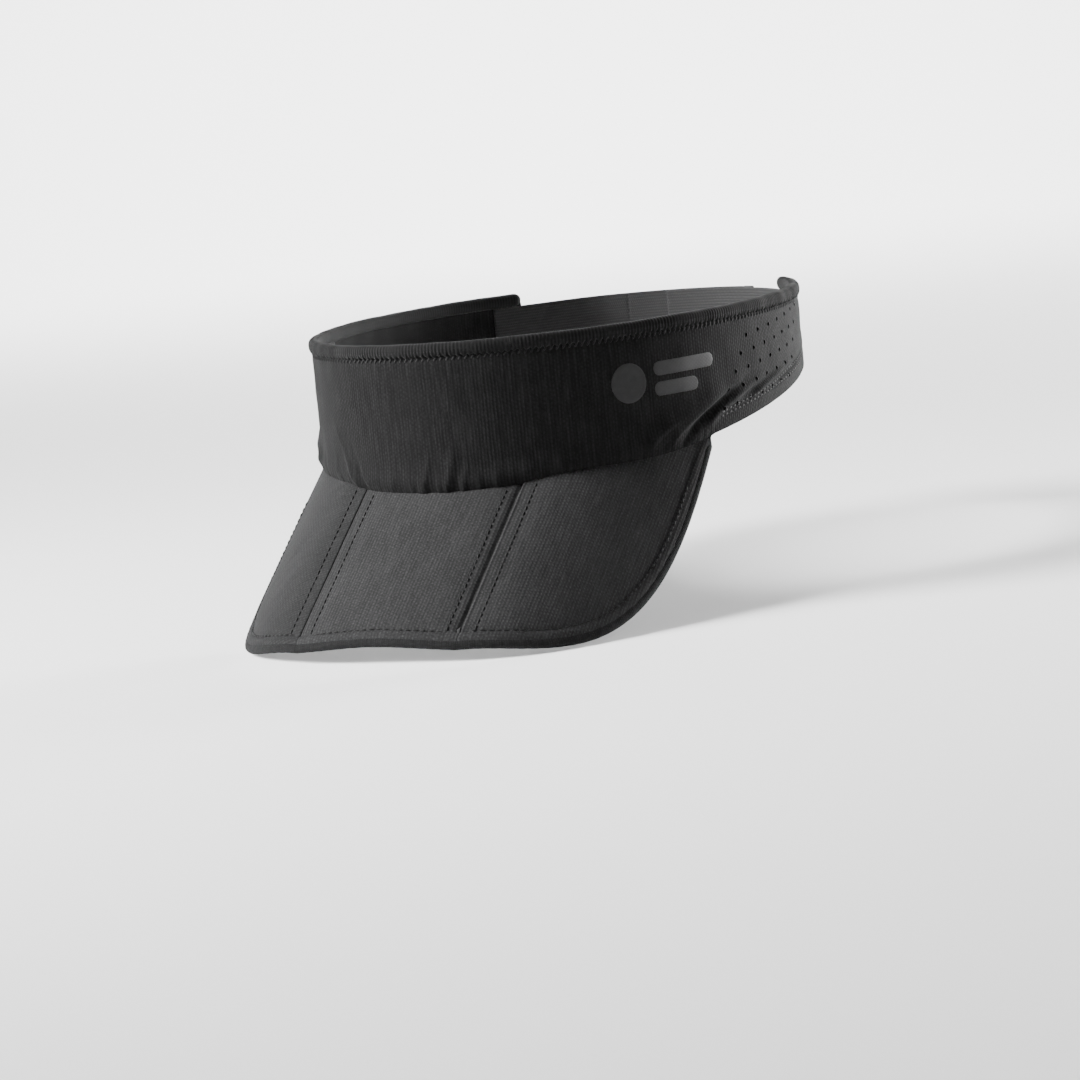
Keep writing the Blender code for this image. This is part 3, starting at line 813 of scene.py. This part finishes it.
def strip(name, low, high, bottom, top, outer, thickness, material, slot, rows, step=1.0 * MM, relief=0.0,
          cuts=(False, False)):
    """Upright strip of cloth on or inside the ring; limits may be functions of the angle."""
    count = max(int((arc(high) - arc(low)) / step), 4)
    spacing = (arc(high) - arc(low)) / (count - 1)
    angles = angle_of_arc(arc(low) + spacing * np.arange(-1 * cuts[0], count + cuts[1]))[None, :]
    share = np.linspace(0, 1, rows)[:, None]
    first, last, face = (limit(angles) if callable(limit) else limit for limit in (top, bottom, outer))
    z = first + (last - first) * share + 0 * angles
    angles = angles + 0 * z
    if relief:
        face = face + relief * ripple(arc(angles), z, 21)
    middle, swell = face - thickness / 2, thickness * 0.5 * (0.75 + 0.25 * np.sin(math.pi * share) ** 0.5)
    return ring_cloth(name, angles, z, (middle + swell, middle - swell), material, slot, None, cuts)


def above_edge(height):
    """Limit of a strip that follows the band's lower edge at this height in mm."""
    return lambda angle: lower_edge(angle) + height * MM


def seam_edge_drop(angle):
    """Lower edge of the turned-in allowance, a dark strip which reaches down behind the brim and into each
    crease as painted shade in the gap.
    """
    beside = np.abs(np.abs(ring(angle, 0.0)[..., 0]) - FOLD_X)
    behind = smooth(TEMPLE_ANGLE - 0.5, TEMPLE_ANGLE - 3.5, np.abs(angle))
    return lower_edge(angle) + 0.2 * MM - MM * (1.6 * behind + 1.0 * bump(beside, 2.6 * MM))


def build_linings():
    # node, piece, reach in degrees, bottom, top, face, thickness, material, slot, rows, step, relief
    layers = (
        ("sweatband", "sweatband_cloth", SWEATBAND_ANGLE, above_edge(1.0), BINDING_SEAM_Z + 0.2 * MM,
         SWEATBAND_FACE, SWEATBAND, TERRY, "terry", 40, 0.9 * MM, 0.12 * MM),
        ("front_interlining", "foam_interlining", 50.0, above_edge(5.9), BINDING_SEAM_Z - 1.0 * MM,
         INTERLINING_FACE, INTERLINING, FOAM, "foam", 8, 0.9 * MM, 0.0),
        ("brim_seam_tape", "seam_tape", 62.8, above_edge(0.3), above_edge(5.3),
         INTERLINING_FACE, 0.8 * MM, TAPE, "tape", 8, 0.9 * MM, 0.0),
        # Dark strip under the band's lower edge: partly the turned-in seam allowance, partly a dark sheet
        # that stands as painted shade in the gap above the brim and in each crease.
        (None, "seam_edge", TEMPLE_ANGLE, seam_edge_drop, above_edge(1.6),
         -0.82 * MM, 0.26 * MM, SEAM, "tape", 5, 0.8 * MM, 0.0),
    )
    for node, name, reach, bottom, top, face, thickness, *look in layers:
        middle = face - thickness / 2 if node else -0.9 * MM
        for tag, low, high, cuts in sections(-reach, reach, middle):
            piece = strip(f"{name}_{tag}", low, high, bottom, top, face, thickness, *look, cuts)
            place_on_band(piece, tag, node)
    for name, side in SIDES.items():
        ends = side_ends(side, SWEATBAND_ANGLE + 0.6, 130.0)
        piece = strip(f"{name}_hem", *ends, above_edge(0.2), above_edge(6.2), -KNIT - 0.15 * MM, 0.55 * MM,
                      TAPE, "tape", 10)
        place_on_band(piece, name, f"{name}_hem_tape")
        lines = [band_line(ends[0] + 1, ends[1] - 1, line, 0.62 * MM, inside=True) for line in HEM_LINES]
        piece = stitches(f"{name}_hem_inner_stitches", lines, "tape", 2.3 * MM, 0.8, 0.2 * MM)
        place_on_band(piece, name)
    low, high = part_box("care_label")
    piece = strip("care_label_cloth", *LABEL_ANGLES, low.z, high.z, -KNIT - 1.25 * MM, 0.28 * MM,
                  LABEL, "label", 12, 0.8 * MM, 0.25 * MM)
    place_on_band(piece, "left", "care_label")


def build_side_linings():
    """Thin smooth knit that backs the perforated stretch of each side."""
    for name, side in SIDES.items():
        low, high = side_ends(side, SWEATBAND_ANGLE - 6, 121.0)
        angles = angle_of_arc(np.linspace(arc(low), arc(high), 90))[None, :]
        z = BINDING_SEAM_Z + (lower_edge(angles) + 4.0 * MM - BINDING_SEAM_Z) * np.linspace(0, 1, 44)[:, None]
        angles = angles + 0 * z
        lift = fold_height(angles, z) - KNIT - 0.08 * MM
        piece = ring_cloth(f"{name}_side_lining", angles, z, (lift, lift - 0.3 * MM), SEAM, "brim_lining")
        place_on_band(piece, name)


def build_motif():
    """A plain sun disc and two bars, heat-set on the wearer's left."""
    for node, angle, up, half_length, half_height in (
            ("reflective_disc", 47.2, 30.0, 6.6, 6.6),
            ("reflective_bar_long", 61.0, 33.4, 13.5, 2.3),
            ("reflective_bar_short", 58.6, 26.6, 9.5, 2.3)):
        across = np.linspace(-half_length, half_length, 61)[None, :]
        bow = np.maximum(np.abs(across) - half_length + half_height, 0.0)
        half = np.sqrt(np.maximum(half_height ** 2 - bow ** 2, 0.02))
        z = (up + half * np.linspace(1, -1, 13)[:, None]) * MM
        place = angle_of_arc(arc(angle) + across * MM + 0 * z)
        lift = fold_height(place, z)
        piece = ring_cloth(node + "_film", place, z, (lift + 0.13 * MM, lift + 0.02 * MM), FILM, "reflective")
        place_on_band(piece, "left", node)


# ---- the closure
def elastic_step(angle):
    """Face of the right elastic, which passes from inside the knit to outside the left elastic."""
    inside = INTERLINING_FACE
    return inside + (STRAP_FACE - inside) * smooth(140, 160, np.abs(angle))


def rear_strip(name, node, low, high, face, thickness, material, slot, rows, step, inset=0.0,
               cuts=(False, False)):
    """Strip as tall as the elastic, less its inset."""
    piece = strip(name, low, high, ELASTIC_LOW.z + inset, ELASTIC_HIGH.z - inset, face, thickness, material,
                  slot, rows, step, 0.0, cuts)
    if node:
        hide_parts(node)
    return piece


def box_stitch(name, low, high, face, inset=2.0 * MM):
    """Square of stitches with a cross in it, through a joint in the elastic."""
    bottom, top = ELASTIC_LOW.z + inset, ELASTIC_HIGH.z - inset
    corners = np.array([(low, bottom), (high, bottom), (high, top), (low, top)])
    lines = []
    for a, b in ((0, 1), (1, 2), (2, 3), (3, 0), (0, 2), (1, 3)):
        angles, z = (corners[a] + (corners[b] - corners[a]) * np.linspace(0, 1, 40)[:, None]).T
        lines.append((ring(angles, z, face(angles) if callable(face) else face), ring_normal(angles)))
    return stitches(name, lines, "elastic", 2.2 * MM, 0.85, 0.24 * MM)


def build_closure():
    face = INTERLINING_FACE
    loop_face = face + GAP + PATCH
    hook_face = loop_face + GAP + PATCH
    left_cut = 180 - crease_angle(face - ELASTIC / 2)
    right_cut = 180 - crease_angle(STRAP_FACE - ELASTIC / 2)
    right_start = 360 - STRAP_ROOT_ANGLE - 0.25
    web = (ELASTIC, ELASTIC_WEAVE, "elastic", 40, 0.8 * MM)
    for side, tag, low, high, outer, cuts in (
            ("left", "side", ELASTIC_START, left_cut, face, (False, True)),
            ("left", "rear", left_cut, 183.0, face, (True, False)),
            ("right", "rear", -right_start, -right_cut, elastic_step, (False, True)),
            ("right", "side", -right_cut, -ELASTIC_START, elastic_step, (True, False))):
        piece = rear_strip(f"{side}_elastic_web_{tag}", f"{side}_rear_elastic", low, high, outer, *web,
                           cuts=cuts)
        place_on_band(piece, side if tag == "side" else "rear")
    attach(rear_strip("strap_web", "closure_strap", STRAP_TIP_ANGLE, STRAP_ROOT_ANGLE - 0.25, STRAP_FACE,
                       *web), "closure_tab")
    bend = rear_strip("elastic_bend", None, STRAP_ROOT_ANGLE - 1.2, STRAP_ROOT_ANGLE + 1.2,
                      STRAP_FACE - 0.06 * MM, ELASTIC - 0.12 * MM, ELASTIC_WEAVE, "elastic", 40, 0.25 * MM)
    step = Vector(ring(STRAP_ROOT_ANGLE - 1, 0.0) - ring(STRAP_ROOT_ANGLE + 1, 0.0)).normalized() * 1.3 * MM
    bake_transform(bend)
    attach(rear_strip("loop_pile_patch", "loop_patch", *LOOP_ANGLES, loop_face, PATCH, LOOP_PILE, "loop",
                       30, 0.5 * MM, 2 * MM), "root")
    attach(rear_strip("hook_patch_base", "hook_patch", *HOOK_ANGLES, hook_face, PATCH * 0.5, HOOK, "hook",
                       12, 1.0 * MM, 2 * MM), "closure_tab")
    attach(hook_field(hook_face - PATCH * 0.5), "closure_tab")
    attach(rear_strip("strap_tip_grip", "strap_tip", *TIP_ANGLES, STRAP_FACE + 0.2 * MM,
                       ELASTIC + 0.4 * MM, RUBBER, "tip", 30, 0.3 * MM), "closure_tab")
    for name, side in SIDES.items():
        piece = box_stitch(f"{name}_elastic_stitches", *side_ends(side, 132.3, 136.8),
                           lambda angle: fold_height(angle, 0.034) + 0.05 * MM, 1.5 * MM)
        place_on_band(piece, name)
    for name, low, high in (("strap_stitches", STRAP_TIP_ANGLE + 5, STRAP_ROOT_ANGLE - 12),
                            ("strap_root_stitches", STRAP_ROOT_ANGLE - 6.5, STRAP_ROOT_ANGLE - 1.5)):
        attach(box_stitch(name, low, high, STRAP_FACE), "closure_tab")


def hook_field(face):
    """Field of small moulded hooks on the inner side of the strap."""
    depth, lean, size = np.array([(-0.05, 0.0, 0.13), (0.22, 0.0, 0.11), (0.34, 0.10, 0.12),
                                  (0.30, 0.24, 0.06)]).T[:, :, None] * MM
    low, high = HOOK_ANGLES
    across = np.arange(arc(low + 0.8), arc(high - 0.9), 1.15 * MM)
    up = np.arange(ELASTIC_LOW.z + 2.8 * MM, ELASTIC_HIGH.z - 2.8 * MM, 1.0 * MM)
    across, up = np.meshgrid(across, up, indexing="ij")
    angle = angle_of_arc(across.ravel())
    out = ring_normal(angle)[:, None]
    side = np.cross((0.0, 0.0, 1.0), out)
    centre = ring(angle, up.ravel(), face)[:, None] - out * depth + side * lean
    corners = [centre + (side * a + np.array((0.0, 0.0, b))) * size
               for a, b in ((-1, -1), (1, -1), (1, 1), (-1, 1))]
    return rods("hook_field", np.stack(corners, 2), HOOK, "hook", True)


# ---- the brim
COVER_INSET = PIPING_WIDTH * 0.55


def side_plan(turn, share):
    """Plan grid of a left side panel; turn (columns) runs from the crease, share (rows) from the seam."""
    crease_x = FOLD_X + PANEL_GAP
    first = turn_at(crease_x)
    edge_turn = first + (PIECE_TIP - first) * turn
    edge, start = outline(edge_turn), outline(first)
    angle, facing = (np.degrees(np.arctan2(plan[..., 0] / RING_HALF_WIDTH, -plan[..., 1] / RING_HALF_LENGTH))
                     for plan in (edge, start))
    seam = seam_plan(angle + (angle_at(crease_x) - facing) * (1 - turn) ** 2)
    edge[0, 0] = seam[0, 0] = crease_x
    back = unit(seam - edge)
    edge = edge + back * (COVER_INSET / np.sum(back * outline_inward(edge_turn), axis=1))[:, None]
    return seam[None] + (edge - seam)[None] * share[:, None, None]


def centre_plan(turn, share):
    x = turn * (FOLD_X - PANEL_GAP)
    start = seam_plan(angle_at(x))[:, 1]
    end = outline(turn_at(x))[:, 1] + COVER_INSET
    return np.stack(np.broadcast_arrays(x[None], start[None] + (end - start)[None] * share[:, None]), -1)


def edge_distance(points):
    """Distance from points on the brim to its outline, measured on the brim."""
    plan = outline(np.linspace(-0.99, 0.99, 900))
    flat = points.reshape(-1, 1, 3)
    nearest = np.full(len(flat), 1.0)
    for block in np.array_split(brim(plan[:, 0], plan[:, 1]), 15):
        nearest = np.minimum(nearest, np.linalg.norm(flat - block, axis=2).min(1))
    return nearest.reshape(points.shape[:-1])


BRIM_STITCH_PITCH = 2.6 * MM


def stitch_groove(distance, along, depth, width=0.55 * MM):
    """Channel pulled down by a row of stitches, deeper at each needle hole."""
    pull = 0.75 + 0.25 * np.cos(2 * math.pi * along / BRIM_STITCH_PITCH)
    return -depth * pull * bump(distance, width) - 0.25 * depth * bump(distance, 2.6 * width)


def brim_lengths(x, y):
    """Distance to the brim's edge, to the nearer crease, down the slope, and round the edge."""
    around = np.arctan2(x, EDGE_CENTRE_Y - y) * EDGE_RADIUS
    return edge_distance(brim(x, y)), np.abs(np.abs(x) - FOLD_X), -y * math.hypot(1.0, BRIM_RISE), around


def brim_relief(x, y, side_panel):
    """Height of the brim's top fabric above its smooth face."""
    to_edge, to_fold, down, around = brim_lengths(x, y)
    to_fold = to_fold * 1.02
    inside = smooth(EDGE_STITCH - 0.8 * MM, EDGE_STITCH + 1.2 * MM, to_edge)
    lift = 0.05 * MM * ripple(x, down, 5)
    lift = lift + inside * stitch_groove(to_fold - CREASE_STITCH, down, 0.11 * MM)
    lift = lift + stitch_groove(to_edge - EDGE_STITCH, around, 0.34 * MM, 0.62 * MM)
    # The padding inside swells a little between the stitch lines.
    swell = smooth(EDGE_STITCH, EDGE_STITCH + 6 * MM, to_edge)
    lift = lift + 0.22 * MM * swell * smooth(CREASE_STITCH, CREASE_STITCH + 6 * MM, to_fold)
    lift = lift + 0.20 * MM * bump(to_edge - (EDGE_STITCH + PIPING_WIDTH) / 2, 1.3 * MM)
    left = smooth(-1 * MM, 1 * MM, x)
    if side_panel:
        lip = (0.02 + 0.20 * left) * MM * bump(to_fold - 0.6 * MM, 0.5 * MM)
        lift = lift + inside * (lip - 0.45 * MM * np.exp(-to_fold / (0.16 * MM)))
    else:
        tuck = np.exp(-(to_fold / ((0.30 + 1.15 * left) * MM)) ** 1.4)
        lift = lift - inside * (0.5 + 0.75 * left) * MM * tuck
    return lift - 0.30 * MM * np.clip(np.exp(-(to_edge - PIPING_WIDTH) / (0.5 * MM)), 0, 1)


def under_lift(x, y):
    """Place of the lining's face along the brim's normal."""
    to_edge, to_fold, down, around = brim_lengths(x, y)
    relief = 0.05 * MM * ripple(x, down, 6) + stitch_groove(to_fold - CREASE_STITCH, down, 0.22 * MM)
    relief = relief + stitch_groove(to_edge - EDGE_STITCH, around, 0.25 * MM)
    return 0.15 * MM - BRIM_THICKNESS - relief


def brim_uv(x, y):
    """Cloth lengths across and along the brim, in millimetres."""
    grid = np.linspace(0, 0.1, 401)
    slope = brim_slope(grid)
    across = np.concatenate([[0.0], np.cumsum(np.hypot(1.0, (slope[1:] + slope[:-1]) / 2) * np.diff(grid))])
    u = np.sign(x) * np.interp(np.abs(x), grid, across)
    return np.stack([u * 1000, y * math.hypot(1.0, BRIM_RISE) * 1000], -1)


def cover_pieces(panel, plan, side, body):
    """Top and under covers of one brim panel."""
    x, y = plan[..., 0] * side, plan[..., 1]
    lift = brim_relief(x, y, panel != "centre")
    # The right panel takes the turned copy of the knit, which is coloured darker as painted shade.
    knit = BRIM_KNIT_TURNED_SHADED if panel == "right" else BRIM_KNIT
    top, under = brim(x, y, lift), brim(x, y, under_lift(x, y))
    top_inside = brim(x, y, np.minimum(-BRIM_COVER, lift - 0.35 * MM))
    under_inside = brim(x, y, BRIM_COVER - BRIM_THICKNESS)
    for name, node, outer, faces, material, slot in (
            ("top_knit", "top_cover", top, (top, top_inside), knit, "brim_knit"),
            ("under_lining", "under_cover", under, (under_inside, under), LINING, "brim_lining")):
        piece = shell(f"{panel}_{name}", *faces, material, brim_uv(x, y), slot, flip=side < 0)
        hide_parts(f"{panel}_{node}")
        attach(piece, body)


def piping(name, turns, side, slim=1.0):
    """Rolled edge strip, deeper than it is wide, that closes the brim's rim."""
    bends = np.radians(np.arange(0, 360, 18))[None]
    edge = outline(turns)
    plain = brim(edge[:, 0] * side, edge[:, 1])
    run = np.concatenate([[0.0], np.cumsum(np.linalg.norm(np.diff(plain, axis=0), axis=1))])
    left = (run[-1] - run) / (4 * MM) if turns[-1] > 0.9 else np.ones(len(run))
    full = (slim * np.sqrt(np.clip(1 - (1 - np.minimum(left, 1.0)) ** 2, 0.03, 1.0)))[:, None]
    depth = PIPING_WIDTH / 2 * (1 - full * np.cos(bends))
    rise = (BRIM_THICKNESS / 2 - 0.05 * MM) * np.sign(np.sin(bends)) * np.abs(np.sin(bends)) ** 0.8
    twist = 0.04 * MM * np.cos(np.arange(len(turns))[:, None] * 0.9 + bends)
    plan = edge[:, None] + outline_inward(turns)[:, None] * depth[..., None]
    points = brim(plan[..., 0] * side, plan[..., 1], (rise + twist) * full - BRIM_THICKNESS / 2)
    uv = np.stack(np.broadcast_arrays(run[:, None] * 1000, bends * 1.6), -1)
    # The piping's knit is coloured darker than the brim knit: painted shade on the rolled edge.
    return tube(name, points, PIPING_SHADED, uv, "piping", flip=side < 0)


def edge_stitch_line(first, last):
    """Plan of the stitching along the edge, at an even distance on the brim from the outline."""
    turns = np.linspace(first, last, 200)
    edge, inward = outline(turns), outline_inward(turns)
    start = brim(edge[:, 0], edge[:, 1])
    reach = np.full(len(turns), EDGE_STITCH)
    for _ in range(6):
        plan = edge + inward * reach[:, None]
        reach = reach * EDGE_STITCH / np.linalg.norm(brim(plan[:, 0], plan[:, 1]) - start, axis=1)
    return edge + inward * reach[:, None]


def edge_stitch_y(x):
    """Where the stitching along the edge crosses this x."""
    plan = edge_stitch_line(0.0, 0.8)
    reach = int(np.argmax(plan[:, 0])) + 1
    return np.interp(x, plan[:reach, 0], plan[:reach, 1])


def build_brim_threads():
    end_turn = 0.035
    fold_turn = turn_at(FOLD_X)
    crease = FOLD_X + CREASE_STITCH
    inner = FOLD_X - CREASE_STITCH
    for panel, side, body, first, last, places in (
            ("centre", 1, "root", end_turn - fold_turn, fold_turn - end_turn, (-inner, inner)),
            ("left", 1, "left_brim", fold_turn + end_turn, 0.93, (crease,)),
            ("right", -1, "right_brim", fold_turn + end_turn, 0.93, (crease,))):
        plans = [edge_stitch_line(first, last)]
        for place in places:
            y = np.linspace(seam_plan(angle_at(place))[1] - 1.2 * MM, edge_stitch_y(abs(place)), 120)
            plans.append(np.stack([np.full(120, place), y], -1))
        top, under = [], []
        for x, y in ((plan[:, 0] * side, plan[:, 1]) for plan in plans):
            away = brim_normal(x, y)
            top.append((brim(x, y, brim_relief(x, y, panel != "centre") + 0.02 * MM), away))
            under.append((brim(x, y, under_lift(x, y) - 0.02 * MM), -away))
        for kind, lines in (("stitches", top), ("under_stitches", under)):
            piece = stitches(f"{panel}_brim_{kind}", lines, "brim_knit", BRIM_STITCH_PITCH, 0.76, 0.31 * MM,
                             sink=0.1)
            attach(piece, body)


def build_brim():
    # Rows crowd towards the edge, where the stitches draw the fabric in.
    share = np.concatenate([np.linspace(0, 0.84, 58)[:-1], np.linspace(0.84, 1, 66)])
    # Columns crowd towards the creases, where the fabric turns down.
    turns = np.linspace(-1, 1, 109)
    turns = np.sin(turns * math.pi / 2) * 0.35 + turns * 0.65
    cover_pieces("centre", centre_plan(turns, share), 1, "root")
    for name, side in SIDES.items():
        cover_pieces(name, side_plan(np.linspace(0, 1, 128) ** 1.25, share), side, f"{name}_brim")
    fold_turn, first = float(turn_at(FOLD_X - PANEL_GAP)), float(turn_at(FOLD_X + PANEL_GAP))
    for name, start, stop, count, side, body in (("centre", -fold_turn, fold_turn, 90, 1, "root"),
                                                 ("left", first, PIECE_TIP, 160, 1, "left_brim"),
                                                 ("right", first, PIECE_TIP, 160, -1, "right_brim")):
        piece = piping(f"{name}_piping", np.linspace(start, stop, count), side)
        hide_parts(f"{name}_edge_piping")
        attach(piece, body)


def build_creases():
    """Fabric web and edge knit in each crease, with a short bend of piping."""
    half = 0.62 * MM
    start = seam_plan(angle_at(FOLD_X))[1] + 0.3 * MM
    stitch = edge_stitch_y(FOLD_X)
    front = outline(float(turn_at(FOLD_X)))[1] + PIPING_WIDTH * 0.6
    across = np.linspace(-1, 1, 15)[:, None]
    for name, side in SIDES.items():
        pieces = []
        for part, first, last, count, depth, material in (
                ("web", start, stitch + 0.4 * MM, 70, 1.75, SEAM),
                ("edge", stitch + 0.8 * MM, front, 16, 0.10, BRIM_KNIT)):
            y = np.linspace(first, last, count)[None, :]
            x, y = np.broadcast_arrays((FOLD_X + across * half) * side, y)
            lift = 0.2 * MM * np.abs(across) if part == "web" else brim_relief(x, y, True)
            top, under = brim(x, y, lift - depth * MM), brim(x, y, -BRIM_THICKNESS + 0.12 * MM)
            pieces.append(shell(f"{name}_crease_{part}", top, under, material, brim_uv(x, y), "brim_knit",
                                flip=side > 0))
        turns = np.linspace(float(turn_at(FOLD_X - 0.6 * MM)), float(turn_at(FOLD_X + 0.6 * MM)), 9)
        pieces.append(piping(f"{name}_piping_bend", turns, side, 0.97))
        for piece in pieces:
            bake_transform(piece)


# ---- CAD pieces that keep their own shape
def finish_hidden_nodes():
    for node, material in (("centre_board", BOARD), ("left_board", BOARD), ("right_board", BOARD),
                           ("left_fold_tape", TAPE), ("right_fold_tape", TAPE)):
        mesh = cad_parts[node].data
        mesh.materials.clear()
        mesh.materials.append(material)
        if material is TAPE:
            for loop, corner in zip(mesh.loops, mesh.uv_layers.new(name="UVMap").data):
                point = mesh.vertices[loop.vertex_index].co
                corner.uv = (math.atan2(point.x, -point.y) * 90.0, point.z * 1000)


# ---- studio
CAMERA_AZIMUTH = 26.45
CAMERA_ELEVATION = 6.4
CAMERA_ROLL = -5.77
CAMERA_DISTANCE = 1.43
CAMERA_LENS = 134.4
AIM_RIGHT = -0.0109
AIM_UP = -0.0322


def towards(azimuth, elevation, distance):
    a, e = math.radians(azimuth), math.radians(elevation)
    return Vector((math.sin(a) * math.cos(e), -math.cos(a) * math.cos(e), math.sin(e))) * distance


def build_camera():
    back = towards(CAMERA_AZIMUTH, CAMERA_ELEVATION, 1.0)
    roll = math.radians(CAMERA_ROLL)
    level = back.cross(Vector((0, 0, 1))).normalized() * -1
    upright = back.cross(level)
    right = level * math.cos(roll) + upright * math.sin(roll)
    up = upright * math.cos(roll) - level * math.sin(roll)
    place = back * CAMERA_DISTANCE
    axis = (place - right * AIM_RIGHT - up * AIM_UP).normalized()
    right = up.cross(axis).normalized()
    data = bpy.data.cameras.new("camera")
    data.lens = CAMERA_LENS
    data.sensor_width = 36.0
    data.clip_start = 0.05
    data.clip_end = 50.0
    camera = bpy.data.objects.new("camera", data)
    turned = Matrix((right, axis.cross(right), axis)).transposed().to_4x4()
    camera.matrix_world = Matrix.Translation(place) @ turned
    bpy.context.scene.collection.objects.link(camera)
    bpy.context.scene.camera = camera


def area_light(name, place, size, power, spread, aim=(0, 0, 0)):
    """Softbox at a place, facing its aim; a smaller spread keeps its light off the rest of the studio."""
    data = bpy.data.lights.new(name, "AREA")
    data.shape = "RECTANGLE"
    data.size, data.size_y = size
    data.energy = power
    data.spread = math.radians(spread)
    lamp = bpy.data.objects.new(name, data)
    lamp.visible_camera = False
    lamp.location = place
    lamp.rotation_euler = (place - Vector(aim)).to_track_quat("Z", "Y").to_euler()
    bpy.context.scene.collection.objects.link(lamp)


def build_studio():
    """Pale floor that curves up into a backdrop all round, and soft lights."""
    n = Nodes("studio_paper")
    paper = n.finish(n.noise(n.place(), 0.002, 2.0), 0.90, 0.92, 0.95, specular=0.1, blue=1.0)
    flat, curve, turns = 2.2, np.linspace(0.1, math.pi / 2, 12), 96
    radii = np.concatenate([np.linspace(0, flat, 12)[1:], flat + np.sin(curve), [flat + 1.0]])
    heights = np.concatenate([np.zeros(11), 1.0 - np.cos(curve), [3.6]]) + cad_low.z - 0.5 * MM
    bend = 2 * math.pi * np.arange(turns) / turns
    points = np.stack(np.broadcast_arrays(radii[:, None] * np.cos(bend), radii[:, None] * np.sin(bend),
                                          heights[:, None]), -1)
    faces = [[i + k, i + turns + k, i + turns + (k + 1) % turns, i + (k + 1) % turns]
             for i in range(0, (len(radii) - 1) * turns, turns) for k in range(turns)]
    new_piece("studio_floor", points, faces + [list(range(turns))], paper)
    area_light("key", towards(-54, 30, 1.9), (0.75, 0.75), 29, 70)
    area_light("rear_right", towards(151, 6, 1.9), (0.7, 0.5), 12.5, 60)
    area_light("backdrop", towards(206, 50, 2.2), (1.4, 0.6), 115, 140, aim=towards(206, 0, 2.8))
    world = bpy.data.worlds.new("studio_world")
    world.use_nodes = True
    world.node_tree.nodes["Background"].inputs[0].default_value = (1, 1, 1, 1)
    world.node_tree.nodes["Background"].inputs[1].default_value = 0.05
    bpy.context.scene.world = world


build_camera()
build_studio()
build_knit()
build_binding()
build_band_threads()
build_linings()
build_side_linings()
build_motif()
build_closure()
build_brim()
build_creases()
build_brim_threads()
finish_hidden_nodes()
